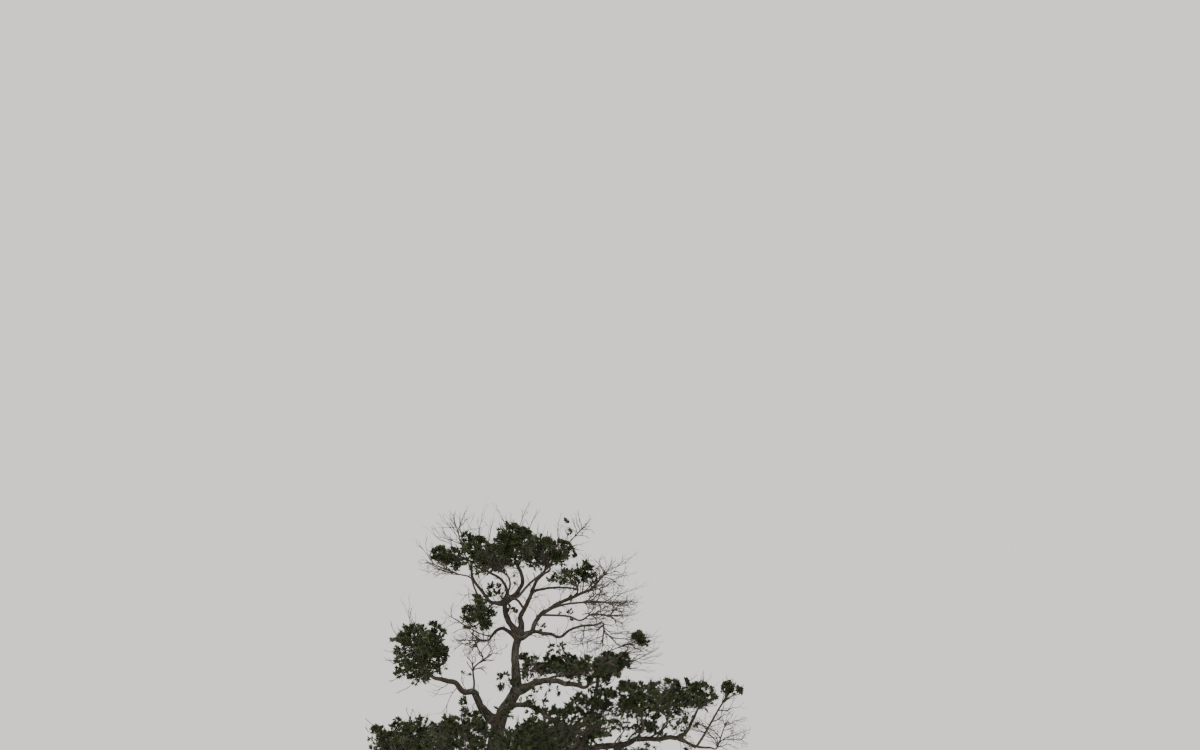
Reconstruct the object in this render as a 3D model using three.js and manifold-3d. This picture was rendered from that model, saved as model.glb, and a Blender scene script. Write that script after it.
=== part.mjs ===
import * as THREE from 'three';
import { mergeVertices } from 'three/addons/utils/BufferGeometryUtils.js';
import Module from 'manifold-3d';

const wasm = await Module();
wasm.setup();

// A mature acacia, 12 m tall. Millimetres, +Z up, the flat cut under the trunk at the origin.

const clearance = 0.35; // between a limb and whatever springs from it
const searchGap = 1; // solids further apart than this are clear of each other
const weld = 0.001;
const flatness = 0.05; // how far simplifying may move a surface
const trunkSides = 13;
const thickBoughSides = 6;
const thinBoughSides = 5;
const thinBough = 60; // boughs below this radius have fewer sides
const stepsPerBend = 2; // rings for each point of a limb's path

// The root flare: lobes that fade out up the trunk
const flare = { lobes: 5, depth: 0.17, height: 420, turn: 0.6 };

// A shoot ends in a spray, and more stand along it: each is one keeled blade, for its cluster of leaves
const spray = { longest: 760, share: 0.6, width: 0.54, thickness: 0.06, widest: 0.45 };

// A stem carries on from its bough's tip, and past the heart of its mass by a share of its half size
const stem = { onward: 0.3, lead: 0.35, sides: 5, fit: 0.94, taper: 0.45, inner: 0.7, latest: 0.985 };

// Shoots leave the stem a little below the place nearest their end, and bow along its direction
const shoot = {
  lowest: 0.35, latest: 0.97, search: 0.05, sweep: 0.12, bow: 0.14, thickest: 18, taper: 0.6,
  highest: 0.94, reach: [0.92, 1], turns: 7, turn: 0.7, shorter: 0.03,
  overstep: 1.01, tested: [0.75, 1], outer: [0.4, 0.7, 1],
};

// Side shoots leave a main shoot at its forks
const sideShoot = {
  many: 5, forks: [0.13, 0.32], manyForks: [0.12, 0.26, 0.37], bareForks: [0.3, 0.58],
  length: [0.6, 0.85], lean: [0.6, 1.05], roll: 0.8, fit: 0.42, outer: 0.3,
};

// Fork stations and bends along the trunk, each with its radius
const trunkPath = [
  [0, 0, 0, 430],
  [0, 0, 220, 345],
  [0, 0, 600, 296],
  [-50, 40, 1600, 266],
  [0, -50, 3000, 246],
  [60, -20, 4300, 232],
  [130, 10, 5400, 222],
  [275, 50, 6040, 194],
  [490, 50, 6420, 174],
  [660, 20, 6780, 170],
  [725, -30, 7160, 148],
  [668, -80, 7600, 126],
  [680, -50, 8030, 117],
  [780, 0, 8430, 112],
];

// Each bough: the limb it leaves, the share of that limb's path, its bends, and its two radii
const boughs = {
  bough_left: {
    from: ['trunk', 0.51],
    path: [
      [-190, -50, 6060], [-460, -200, 6560], [-560, -280, 6730], [-800, -420, 6730],
      [-1100, -520, 6950], [-1520, -620, 7090],
    ],
    radius: [126, 70],
  },
  bough_right_low: {
    from: ['trunk', 0.36],
    path: [
      [630, 80, 4380], [1560, 240, 4810], [2490, 400, 5040],
      [3930, 580, 5210], [4450, 580, 5370], [5680, 460, 5390],
    ],
    radius: [138, 66],
  },
  bough_right_middle: {
    from: ['trunk', 0.69],
    path: [[960, -50, 6850], [1470, -250, 7070], [1890, -500, 7030], [2550, -950, 6890]],
    radius: [116, 70],
  },
  bough_right_arching: {
    from: ['trunk', 0.565],
    path: [
      [670, -300, 6330], [1370, -850, 6210], [1850, -1200, 5760],
      [2340, -1400, 5530], [3210, -1660, 5400],
    ],
    radius: [88, 46],
  },
  bough_front: {
    from: ['trunk', 0.325],
    path: [[240, -800, 3730], [470, -1700, 4180], [670, -2500, 4570]],
    radius: [100, 50],
  },
  bough_back_left: {
    from: ['trunk', 0.335],
    path: [[-480, 800, 4100], [-1130, 1600, 4610], [-1710, 2200, 5000]],
    radius: [90, 44],
  },
  bough_back: {
    from: ['trunk', 0.36],
    path: [[360, 900, 4320], [670, 1900, 4750], [860, 2700, 5050]],
    radius: [96, 48],
  },
  bough_left_low: {
    from: ['trunk', 0.375],
    path: [[-540, -100, 4350], [-1280, -200, 4670], [-1990, -300, 4910], [-2560, -360, 5120]],
    radius: [92, 45],
  },
  bough_front_left: {
    from: ['trunk', 0.345],
    path: [[-330, -800, 4180], [-740, -1500, 4600]],
    radius: [80, 42],
  },
  bough_upper_left: {
    from: ['trunk', 0.985],
    path: [[650, -50, 8630], [470, -100, 8830], [360, -120, 9090], [350, -100, 9450]],
    radius: [96, 76],
  },
  bough_right_upper: {
    from: ['trunk', 0.985],
    path: [
      [1190, -90, 8570], [1400, -190, 8990], [1840, -300, 9290],
      [2300, -360, 9530], [2800, -400, 9710],
    ],
    radius: [84, 42],
  },
  bough_upper_middle: {
    from: ['trunk', 0.985],
    path: [[840, 60, 8750], [850, 80, 9010], [1050, 120, 9520], [1280, 300, 10070], [1520, 560, 10340]],
    radius: [100, 38],
  },
  bough_right_drooping: {
    from: ['trunk', 0.98],
    path: [[1200, 120, 8530], [1680, 250, 8500], [1980, 320, 8400], [2410, 480, 8680], [3120, 620, 8800]],
    radius: [62, 34],
  },
  bough_left_drooping: {
    from: ['trunk', 0.98],
    path: [[540, 120, 8520], [290, 250, 8650], [80, 480, 8590], [-90, 760, 8430]],
    radius: [70, 40],
  },
  bough_crown_left: {
    from: ['bough_upper_left', 0.97],
    path: [
      [130, -200, 9370], [-110, -300, 9440], [-450, -300, 9870],
      [-600, -260, 10150], [-660, -300, 10440],
    ],
    radius: [66, 36],
  },
  bough_crown_middle: {
    from: ['bough_upper_left', 0.97],
    path: [[570, -40, 9570], [780, 0, 9780], [890, -200, 10040], [730, -700, 10500]],
    radius: [76, 54],
  },
  bough_crown_inner_left: {
    from: ['bough_upper_left', 0.98],
    path: [[400, -240, 9680], [350, -420, 9930], [90, -660, 10170], [-260, -900, 10330]],
    radius: [54, 34],
  },
  bough_crown_right: {
    from: ['bough_upper_middle', 0.68],
    path: [[1560, -200, 9820], [1990, -560, 9820], [2410, -900, 9760]],
    radius: [46, 28],
  },
  bough_right_upright: {
    from: ['bough_right_low', 0.5],
    path: [[2790, 300, 5470], [2970, 160, 6010], [3120, 60, 6870], [3160, 20, 7320]],
    radius: [82, 46],
  },
  bough_right_low_rise: {
    from: ['bough_right_low', 0.985],
    path: [[5830, 360, 5630], [5980, 260, 5910], [6110, 180, 6190]],
    radius: [60, 36],
  },
  bough_right_low_end: {
    from: ['bough_right_low', 0.985],
    path: [[5930, 520, 5210], [6200, 560, 5120], [6530, 600, 5110]],
    radius: [54, 32],
  },
};

// Each mass: the ellipsoid it keeps to, the limb its stem leaves, and its number of main shoots.
// A stem's own bends and radii stand where it leaves a limb along the way; bare masses are twigs only.
const masses = {
  foliage_left: {
    centre: [-2180, -600, 7790], half: [980, 1550, 1070], shoots: 6,
    from: ['bough_left', 1],
  },
  foliage_crown_left: {
    centre: [-1300, -400, 10730], half: [540, 1200, 390], shoots: 5,
    from: ['bough_crown_left', 1],
  },
  foliage_crown_inner_left: {
    centre: [-370, -1200, 10710], half: [560, 1150, 560], shoots: 4,
    from: ['bough_crown_inner_left', 1],
  },
  foliage_crown_back_left: {
    centre: [-60, 1600, 10900], half: [640, 1200, 490], shoots: 5,
    from: ['bough_upper_middle', 0.49],
    bends: [
      [750, 140, 9480], [560, 240, 9590], [430, 300, 9720],
      [500, 380, 9970], [430, 600, 10260], [180, 1000, 10490],
    ],
    radius: [40, 24],
  },
  foliage_crown_front: {
    centre: [610, -1300, 11020], half: [710, 1250, 680], shoots: 6,
    from: ['bough_crown_middle', 1],
  },
  foliage_crown_back: {
    centre: [1290, 1300, 11090], half: [700, 1350, 580], shoots: 5,
    from: ['bough_upper_middle', 1],
  },
  foliage_crown_top_right: {
    centre: [1960, -400, 10880], half: [600, 1200, 390], shoots: 4,
    from: ['bough_crown_middle', 0.12],
    bends: [
      [730, -120, 9560], [960, -160, 9820], [1150, -140, 10020],
      [1370, -120, 10200], [1580, -200, 10380],
    ],
    radius: [46, 28],
  },
  foliage_crown_right: {
    centre: [2120, -1400, 10070], half: [410, 800, 270], shoots: 4,
    from: ['bough_crown_right', 1],
  },
  foliage_upper_left: {
    centre: [-340, -500, 9020], half: [660, 1600, 600], shoots: 4,
    from: ['bough_crown_left', 0.28], bends: [[-60, -480, 9270], [-170, -760, 9130]], radius: [30, 18],
  },
  foliage_middle: {
    centre: [1380, 1600, 7610], half: [700, 1150, 490], shoots: 4,
    from: ['trunk', 0.8], bends: [[920, 550, 7400], [1160, 1150, 7480]], radius: [30, 18],
  },
  foliage_right_middle_front: {
    centre: [3120, -1800, 7290], half: [880, 1200, 410], shoots: 5,
    from: ['bough_right_middle', 1],
  },
  foliage_right_middle_back: {
    centre: [2070, 2200, 7610], half: [710, 1200, 430], shoots: 5,
    from: ['bough_right_middle', 0.45], bends: [[1760, 250, 7190], [2100, 1150, 7350]],
    radius: [36, 22],
  },
  foliage_right_middle: {
    centre: [3600, 300, 7580], half: [600, 1300, 450], shoots: 5,
    from: ['bough_right_upright', 1],
  },
  foliage_right_outer: {
    centre: [4470, 350, 8340], half: [450, 650, 270], shoots: 3,
    from: ['bough_right_upright', 0.95], bends: [[3210, 100, 7800], [3740, 300, 8080]],
    radius: [20, 12],
  },
  foliage_low_front_right: {
    centre: [3120, -2400, 5530], half: [700, 1150, 380], shoots: 5,
    from: ['bough_right_arching', 1],
  },
  foliage_right_low_rise: {
    centre: [6180, 100, 6580], half: [600, 1200, 510], shoots: 4,
    from: ['bough_right_low_rise', 1],
  },
  foliage_far_right: {
    centre: [7160, 380, 6830], half: [360, 500, 270], shoots: 3,
    from: ['bough_right_low_end', 0.55], bends: [[6310, 500, 5450], [6560, 420, 5880], [6820, 390, 6330]],
    radius: [42, 20],
  },
  foliage_right_low_left: {
    centre: [4240, -1400, 6430], half: [920, 1500, 650], shoots: 5,
    from: ['bough_right_low', 0.77], bends: [[4500, -50, 5690], [4420, -620, 5990]], radius: [34, 22],
  },
  foliage_right_low_right: {
    centre: [5280, 1500, 6650], half: [950, 1500, 700], shoots: 5,
    from: ['bough_right_low', 0.87], bends: [[5160, 800, 5720], [5240, 1150, 6000]], radius: [32, 20],
  },
  foliage_right_upright: {
    centre: [3000, -900, 6280], half: [680, 950, 530], shoots: 4,
    from: ['bough_right_upright', 0.45], bends: [[3160, -350, 6220]], radius: [22, 14],
  },
  foliage_front: {
    centre: [1090, -2800, 4930], half: [1220, 1600, 870], shoots: 6,
    from: ['bough_front', 1],
  },
  foliage_front_left: {
    centre: [-830, -2100, 5250], half: [1080, 1500, 790], shoots: 5,
    from: ['bough_front_left', 1],
  },
  foliage_back: {
    centre: [1510, 2900, 5400], half: [1360, 1600, 770], shoots: 6,
    from: ['bough_back', 1],
  },
  foliage_back_left: {
    centre: [-2060, 2400, 5350], half: [1230, 1600, 800], shoots: 5,
    from: ['bough_back_left', 1],
  },
  foliage_left_low: {
    centre: [-2640, -400, 5150], half: [1020, 1500, 780], shoots: 5,
    from: ['bough_left_low', 1],
  },
  foliage_front_right: {
    centre: [3440, -2500, 4300], half: [1110, 1500, 550], shoots: 5,
    from: ['bough_right_low', 0.3], bends: [[1990, -600, 4780], [2570, -1400, 4620]], radius: [54, 32],
  },
  foliage_back_right: {
    centre: [4290, 2700, 4650], half: [1240, 1600, 620], shoots: 5,
    from: ['bough_right_low', 0.5], bends: [[3000, 1100, 4900], [3500, 1800, 4760]], radius: [50, 30],
  },
  twigs_far_right: {
    centre: [6900, 650, 5610], half: [1090, 1000, 630], shoots: 5, bare: true,
    from: ['bough_right_low_end', 1],
  },
  twigs_right_upper: {
    centre: [3210, -500, 10060], half: [840, 1100, 720], shoots: 4, bare: true,
    from: ['bough_right_upper', 1],
  },
  twigs_right_middle: {
    centre: [3450, 1500, 9550], half: [920, 1100, 580], shoots: 4, bare: true,
    from: ['bough_right_upper', 0.52], bends: [[2120, 200, 9370], [2720, 700, 9480]], radius: [40, 22],
  },
  twigs_right_front: {
    centre: [3470, -1700, 8890], half: [790, 950, 530], shoots: 4, bare: true,
    from: ['bough_right_upper', 0.42], bends: [[2250, -450, 8970], [2620, -800, 8810], [2970, -1100, 8970]],
    radius: [36, 20],
  },
  twigs_right_lower: {
    centre: [3300, 1100, 8390], half: [1090, 1050, 700], shoots: 5, bare: true,
    from: ['bough_right_drooping', 1],
  },
  twigs_left_inner: {
    centre: [-400, -400, 7950], half: [930, 900, 750], shoots: 5, bare: true,
    from: ['bough_left', 0.5], bends: [[-540, -280, 7000], [-560, -330, 7420], [-280, -360, 7700]],
    radius: [36, 18],
  },
  twigs_left_hanging: {
    centre: [-590, 1200, 8370], half: [790, 850, 520], shoots: 4, bare: true,
    from: ['bough_left_drooping', 1],
  },
  twigs_upper_left: {
    centre: [-1170, 700, 8970], half: [420, 600, 510], shoots: 3, bare: true,
    from: ['bough_left_drooping', 0.96], bends: [[-320, 770, 8510], [-620, 740, 8640]],
    radius: [24, 14],
  },
  twigs_far_left: {
    centre: [-1710, 0, 10530], half: [570, 700, 390], shoots: 4, bare: true,
    from: ['bough_crown_left', 0.3],
    bends: [[-400, -60, 9570], [-580, 60, 9900], [-700, 120, 10190], [-1120, 60, 10290]],
    radius: [36, 14],
  },
  twigs_crown_left: {
    centre: [-1090, 300, 11580], half: [840, 900, 660], shoots: 5, bare: true,
    from: ['bough_crown_left', 0.92], bends: [[-760, -40, 10650], [-910, 140, 11000]], radius: [26, 16],
  },
  twigs_crown_right: {
    centre: [2550, 300, 11550], half: [600, 850, 630], shoots: 4, bare: true,
    from: ['bough_upper_middle', 0.9], bends: [[1750, 150, 10620], [2100, 200, 11050]], radius: [26, 16],
  },
};

const finishes = {
  bark: { color: 0x4d463c, roughness: 0.95, metalness: 0 },
  leaves: { color: 0x4c5631, roughness: 0.8, metalness: 0 },
  twigs: { color: 0x55493c, roughness: 0.85, metalness: 0 },
};

// A fixed number from 0 to 1 for every set of whole numbers
function chance(...keys) {
  let mixed = 2166136261;
  for (const key of keys) {
    mixed = Math.imul(mixed ^ key, 16777619);
    mixed ^= mixed >>> 13;
    mixed = Math.imul(mixed, 1540483477);
    mixed ^= mixed >>> 15;
  }
  return (mixed >>> 0) / 4294967296;
}

function solidOf(geometry) {
  geometry.deleteAttribute('normal');
  geometry.deleteAttribute('uv');
  const merged = mergeVertices(geometry, weld);
  return new wasm.Manifold(new wasm.Mesh({
    numProp: 3,
    vertProperties: new Float32Array(merged.getAttribute('position').array),
    triVerts: new Uint32Array(merged.index.array),
  }));
}

// The largest piece only: scraps go, and a sealed hollow is filled
function mainBody(solid) {
  let largest = null;
  for (const body of solid.decompose()) {
    if (!largest || body.volume() > largest.volume()) {
      largest = body;
    }
  }
  return largest;
}

function meshOf(name, solid, finish) {
  const { vertProperties, triVerts } = mainBody(solid.simplify(flatness)).getMesh();
  const geometry = new THREE.BufferGeometry();
  geometry.setAttribute('position', new THREE.BufferAttribute(vertProperties, 3));
  geometry.setIndex(new THREE.BufferAttribute(triVerts, 1));
  geometry.computeVertexNormals();
  const mesh = new THREE.Mesh(geometry, new THREE.MeshStandardMaterial(finish));
  mesh.name = name;
  return mesh;
}

function curveThrough(points) {
  return new THREE.CatmullRomCurve3(points.map((p) => new THREE.Vector3(...p)), false, 'catmullrom', 0.5);
}

function directionAt(curve, share) {
  const step = 0.01;
  const ahead = curve.getPoint(Math.min(share + step, 1));
  return ahead.sub(curve.getPoint(Math.max(share - step, 0))).normalize();
}

// Any direction square to this one
function squareTo(forward) {
  const nearlyUpright = 0.95;
  const upright = Math.abs(forward.z) > nearlyUpright;
  return forward.clone().cross(new THREE.Vector3(upright ? 1 : 0, 0, upright ? 0 : 1)).normalize();
}

// Cross-sections at shares of a path, each turned as little as possible from the one before
function sectionsAlong(curve, shares, roll) {
  const centres = shares.map((share) => curve.getPoint(share));
  let side = null;
  return centres.map((centre, i) => {
    const ahead = centres[Math.min(i + 1, centres.length - 1)];
    const forward = ahead.clone().sub(centres[Math.max(i - 1, 0)]).normalize();
    side = side || squareTo(forward).applyAxisAngle(forward, roll);
    side = side.clone().addScaledVector(forward, -side.dot(forward)).normalize();
    return { centre, forward, side, across: side.clone().cross(forward) };
  });
}

// A limb: a closed cylinder or cone bent along its path, with two half widths at each share of the way
function limb(form, swell = 0) {
  const { curve, shares, sides, sizeAt, lobeAt = () => 1, roll = 0, pointed = false } = form;
  const steps = shares.length - 1;
  const shape = new THREE.CylinderGeometry(pointed ? 0 : 1, 1, 1, sides, steps);
  const sections = sectionsAlong(curve, shares, roll);
  sections[0].centre.addScaledVector(sections[0].forward, -swell);
  sections[steps].centre.addScaledVector(sections[steps].forward, swell);
  const places = shape.getAttribute('position');
  for (let i = 0; i < places.count; i += 1) {
    const ring = Math.round((places.getY(i) + 0.5) * steps);
    const { centre, side, across } = sections[ring];
    const spread = Math.hypot(places.getX(i), places.getZ(i)) || 1;
    const angle = Math.atan2(places.getZ(i), places.getX(i));
    const [wide, thick] = sizeAt(shares[ring]);
    const lobe = lobeAt(angle, centre.z);
    const place = centre.clone();
    place.addScaledVector(side, (places.getX(i) / spread) * (wide * lobe + swell));
    place.addScaledVector(across, (places.getZ(i) / spread) * (thick * lobe + swell));
    places.setXYZ(i, place.x, place.y, place.z);
  }
  return solidOf(shape);
}

function evenShares(steps) {
  return Array.from({ length: steps + 1 }, (_, i) => i / steps);
}

function taper([thick, thin]) {
  return (share) => {
    const radius = thick + (thin - thick) * share;
    return [radius, radius];
  };
}

function boxesMeet(one, other, margin) {
  return one.min.every((low, axis) => (
    low < other.max[axis] + margin && one.max[axis] > other.min[axis] - margin
  ));
}

const group = new THREE.Group();

// Every limb and stem: its form, its solid, and the cutter that keeps the others clear of it
const grown = {};

function grow(name, form) {
  let solid = limb(form);
  for (const other of Object.values(grown)) {
    if (boxesMeet(solid.boundingBox(), other.cutter.boundingBox(), 0)) {
      solid = solid.subtract(other.cutter);
    }
  }
  solid = mainBody(solid);
  grown[name] = { ...form, solid, cutter: limb(form, clearance) };
}

// Trunk
const bends = trunkPath.length - 1;
grow('trunk', {
  curve: curveThrough(trunkPath.map(([x, y, z]) => [x, y, z])),
  shares: evenShares(bends * stepsPerBend),
  sides: trunkSides,
  sizeAt: (share) => {
    const bend = Math.min(Math.floor(share * bends), bends - 1);
    const radius = THREE.MathUtils.lerp(trunkPath[bend][3], trunkPath[bend + 1][3], share * bends - bend);
    return [radius, radius];
  },
  lobeAt: (angle, height) => {
    const fade = Math.exp(-((height / flare.height) ** 2));
    return 1 + flare.depth * fade * Math.cos(flare.lobes * angle + flare.turn);
  },
});

// Boughs, from the thickest fork outwards
for (const [name, { from: [parent, share], path, radius }] of Object.entries(boughs)) {
  grow(name, {
    curve: curveThrough([grown[parent].curve.getPoint(share).toArray(), ...path]),
    shares: evenShares(path.length * stepsPerBend),
    sides: radius[0] < thinBough ? thinBoughSides : thickBoughSides,
    sizeAt: taper(radius),
  });
}
for (const [name, { solid }] of Object.entries(grown)) {
  group.add(meshOf(name, solid, finishes.bark));
}

// The stem of each mass, from its limb to past the heart of the mass
for (const [name, mass] of Object.entries(masses)) {
  const [parent, share] = mass.from;
  const source = grown[parent];
  const centre = new THREE.Vector3(...mass.centre);
  const half = new THREE.Vector3(...mass.half);
  let stops = mass.bends || [];
  if (share === 1) {
    const onward = source.curve.getPoint(1);
    onward.addScaledVector(directionAt(source.curve, 1), stem.onward * onward.distanceTo(centre));
    stops = [onward.toArray()];
  }
  const entry = new THREE.Vector3(...stops[stops.length - 1]);
  mass.heading = centre.clone().sub(entry).divide(half).normalize();
  const end = centre.clone().add(mass.heading.clone().multiply(half).multiplyScalar(stem.lead));
  const tipRadius = source.sizeAt(1)[0] * stem.fit;
  const seat = source.curve.getPoint(Math.min(share, stem.latest));
  grow(name, {
    curve: curveThrough([seat.toArray(), ...stops, mass.centre, end.toArray()]),
    shares: evenShares(stops.length + 2),
    sides: stem.sides,
    sizeAt: taper(mass.radius || [tipRadius, tipRadius * stem.taper]),
  });
}

// Where a place lies in a mass's ellipsoid: 0 at the heart, 1 at its surface
function depthIn({ centre, half }, place) {
  return Math.hypot(...place.toArray().map((value, axis) => (value - centre[axis]) / half[axis]));
}

function keepsTo(mass, place) {
  const own = depthIn(mass, place);
  const nearest = Object.values(masses).every((other) => other === mass || own <= depthIn(other, place));
  return own <= shoot.overstep && nearest;
}

const goldenAngle = Math.PI * (3 - Math.sqrt(5));

// The end of a main shoot on the ellipsoid: the first carries on from the stem, the rest are spread evenly
function shootEnd(mass, seed, i, turn) {
  let outward = mass.heading.clone();
  if (i > 0) {
    const height = shoot.highest * (1 - 2 * (i - 1) / (mass.shoots - 2));
    const angle = goldenAngle * i + Math.PI * 2 * chance(seed, 1) + shoot.turn * turn;
    const wide = Math.sqrt(1 - height * height);
    outward = new THREE.Vector3(wide * Math.cos(angle), wide * Math.sin(angle), height);
  }
  const reach = THREE.MathUtils.lerp(...shoot.reach, chance(seed, 2, i)) - shoot.shorter * turn;
  outward.multiply(new THREE.Vector3(...mass.half)).multiplyScalar(reach);
  return outward.add(new THREE.Vector3(...mass.centre));
}

function leavingShare(curve, end) {
  let nearest = 1;
  for (let share = shoot.lowest; share < 1; share += shoot.search) {
    if (curve.getPoint(share).distanceTo(end) < curve.getPoint(nearest).distanceTo(end)) {
      nearest = share;
    }
  }
  return Math.max(shoot.lowest, Math.min(nearest - shoot.sweep, shoot.latest));
}

function bowedPath(start, end, heading, bow) {
  const middle = start.clone().lerp(end, 0.5).addScaledVector(heading, bow * start.distanceTo(end));
  return curveThrough([start.toArray(), middle.toArray(), end.toArray()]);
}

// Half widths at a share of the way, from stations along a shoot
function sizeBetween(stations) {
  return (share) => {
    const next = Math.max(1, stations.findIndex((station) => station[0] >= share));
    const [from, wideFrom, thickFrom] = stations[next - 1];
    const [to, wideTo, thickTo] = stations[next];
    const part = (share - from) / (to - from);
    return [THREE.MathUtils.lerp(wideFrom, wideTo, part), THREE.MathUtils.lerp(thickFrom, thickTo, part)];
  };
}

// A main shoot: a three-sided twig, which on a leafy mass widens into the blade of its last spray
function mainShoot(curve, thick, leafy, roll) {
  const form = { curve, sides: 3, roll, pointed: true };
  if (!leafy) {
    return { ...form, shares: [0, 0.5, 1], sizeAt: taper([thick, 0]) };
  }
  const length = curve.getLength();
  const blade = Math.min(spray.longest, length * spray.share);
  const base = 1 - blade / length;
  const widest = base + (1 - base) * spray.widest;
  const neck = thick * shoot.taper;
  const stations = [
    [0, thick, thick],
    [base, neck, neck],
    [widest, blade * spray.width * 0.5, blade * spray.thickness * 0.5],
    [1, 0, 0],
  ];
  return { ...form, shares: stations.map(([share]) => share), sizeAt: sizeBetween(stations) };
}

// A side spray: a blade with three edges, pointed at root and tip, lying in the plane of its fork
function bladeBetween(root, tip, along, roll) {
  const length = root.distanceTo(tip);
  const forward = tip.clone().sub(root).normalize();
  const wide = along.clone().addScaledVector(forward, -along.dot(forward)).normalize();
  wide.applyAxisAngle(forward, roll);
  const shape = new THREE.SphereGeometry(1, 3, 2);
  shape.scale(length * spray.width * 0.5, length * 0.5, length * spray.thickness * 0.5);
  const place = new THREE.Matrix4().makeBasis(wide, forward, wide.clone().cross(forward));
  shape.applyMatrix4(place.setPosition(root.clone().lerp(tip, 0.5)));
  return solidOf(shape);
}

function touches(solid, others) {
  const box = solid.boundingBox();
  return others.some((other) => (
    boxesMeet(box, other.boundingBox(), searchGap) && solid.minGap(other, searchGap) < clearance
  ));
}

// Keeps a shoot unless it would leave the mass's space, touch a limb or another mass, or cross its own twigs
function keepShoot(mass, pieces, curve, solid, outerPart) {
  const inside = shoot.tested.every((share) => keepsTo(mass, curve.getPoint(share)));
  if (!inside || touches(solid, mass.near) || touches(outerPart, pieces)) {
    return false;
  }
  pieces.push(solid);
  return true;
}

// Main shoots turn about the heart of the mass, and side shoots about their twig, until one has room
function growMainShoot(mass, pieces, stemForm, [seed, i]) {
  for (let turn = 0; turn < shoot.turns; turn += 1) {
    const end = shootEnd(mass, seed, i, turn);
    const share = leavingShare(stemForm.curve, end);
    const heading = directionAt(stemForm.curve, share);
    const path = bowedPath(stemForm.curve.getPoint(share), end, heading, shoot.bow);
    const thick = Math.min(shoot.thickest, stemForm.sizeAt(share)[0] * stem.inner);
    const form = mainShoot(path, thick, !mass.bare, Math.PI * chance(seed, 5, i));
    if (keepShoot(mass, pieces, path, limb(form), limb({ ...form, shares: shoot.outer }))) {
      return form;
    }
  }
  return null;
}

function growSideShoot(mass, pieces, { curve, sizeAt }, share, keys) {
  const start = curve.getPoint(share);
  const forward = directionAt(curve, share);
  const thick = sizeAt(share)[0] * sideShoot.fit;
  for (let turn = 0; turn < shoot.turns; turn += 1) {
    const longest = curve.getLength() * THREE.MathUtils.lerp(...sideShoot.length, chance(...keys, 1, turn));
    const length = Math.min(spray.longest, longest);
    const lean = THREE.MathUtils.lerp(...sideShoot.lean, chance(...keys, 2, turn));
    const around = Math.PI * 2 * chance(...keys, 3) + goldenAngle * turn;
    const outward = squareTo(forward).applyAxisAngle(forward, around);
    const heading = forward.clone().multiplyScalar(Math.cos(lean)).addScaledVector(outward, Math.sin(lean));
    const end = start.clone().addScaledVector(heading, length);
    const line = curveThrough([start.toArray(), end.toArray()]);
    const roll = sideShoot.roll * (chance(...keys, 4, turn) - 0.5);
    const twig = { curve: line, sides: 3, sizeAt: taper([thick, 0]), pointed: true };
    const shapeFrom = (first) => (mass.bare
      ? limb({ ...twig, shares: [first, 1] })
      : bladeBetween(line.getPoint(first), end, forward, roll));
    if (keepShoot(mass, pieces, line, shapeFrom(0), shapeFrom(sideShoot.outer))) {
      return;
    }
  }
}

const finished = [];
Object.entries(masses).forEach(([name, mass], seed) => {
  const stemForm = grown[name];
  const others = Object.keys(grown).filter((other) => other !== name);
  mass.near = finished.concat(others.map((other) => grown[other].solid));
  const pieces = [stemForm.solid];
  for (let i = 0; i < mass.shoots; i += 1) {
    const main = growMainShoot(mass, pieces, stemForm, [seed, i]);
    if (main) {
      const leafyForks = mass.shoots > sideShoot.many ? sideShoot.manyForks : sideShoot.forks;
      const forks = mass.bare ? sideShoot.bareForks : leafyForks;
      forks.forEach((fork, j) => growSideShoot(mass, pieces, main, fork, [seed, i, j]));
    }
  }
  const solid = mainBody(wasm.Manifold.union(pieces));
  finished.push(solid);
  group.add(meshOf(name, solid, mass.bare ? finishes.twigs : finishes.leaves));
});

export default group;
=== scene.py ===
import math

import bmesh
import bpy
import numpy as np
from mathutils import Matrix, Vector, noise


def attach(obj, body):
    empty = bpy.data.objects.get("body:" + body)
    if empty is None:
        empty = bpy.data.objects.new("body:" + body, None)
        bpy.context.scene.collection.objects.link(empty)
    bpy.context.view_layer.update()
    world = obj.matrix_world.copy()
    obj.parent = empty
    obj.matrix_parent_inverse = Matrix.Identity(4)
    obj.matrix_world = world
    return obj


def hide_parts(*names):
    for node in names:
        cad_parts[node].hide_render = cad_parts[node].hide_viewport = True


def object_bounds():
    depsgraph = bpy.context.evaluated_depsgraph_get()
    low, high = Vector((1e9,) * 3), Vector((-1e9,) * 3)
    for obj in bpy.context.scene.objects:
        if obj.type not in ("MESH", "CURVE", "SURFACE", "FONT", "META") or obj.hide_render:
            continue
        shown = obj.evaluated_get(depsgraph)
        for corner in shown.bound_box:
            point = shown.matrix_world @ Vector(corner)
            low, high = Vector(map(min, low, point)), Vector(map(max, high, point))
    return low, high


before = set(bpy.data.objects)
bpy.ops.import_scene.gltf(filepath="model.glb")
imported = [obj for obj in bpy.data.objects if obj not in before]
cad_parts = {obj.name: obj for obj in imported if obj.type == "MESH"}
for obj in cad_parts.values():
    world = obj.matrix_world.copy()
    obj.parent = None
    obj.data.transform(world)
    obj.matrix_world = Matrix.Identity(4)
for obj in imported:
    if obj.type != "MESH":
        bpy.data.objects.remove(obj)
cadBox = np.array(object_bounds())
body = "root"

# A mature acacia, 12 m tall, in metres: limbs with furrowed bark, twigs grown on from them,
# and leaves in sprays


# Camera, floor and light

view = {
    "place": (3.21, -90.0, 1.6), "pitch": 9.3, "lens": 90.0, "sensor": 36.0,
    "near": 1.0, "far": 1500.0,
}

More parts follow.
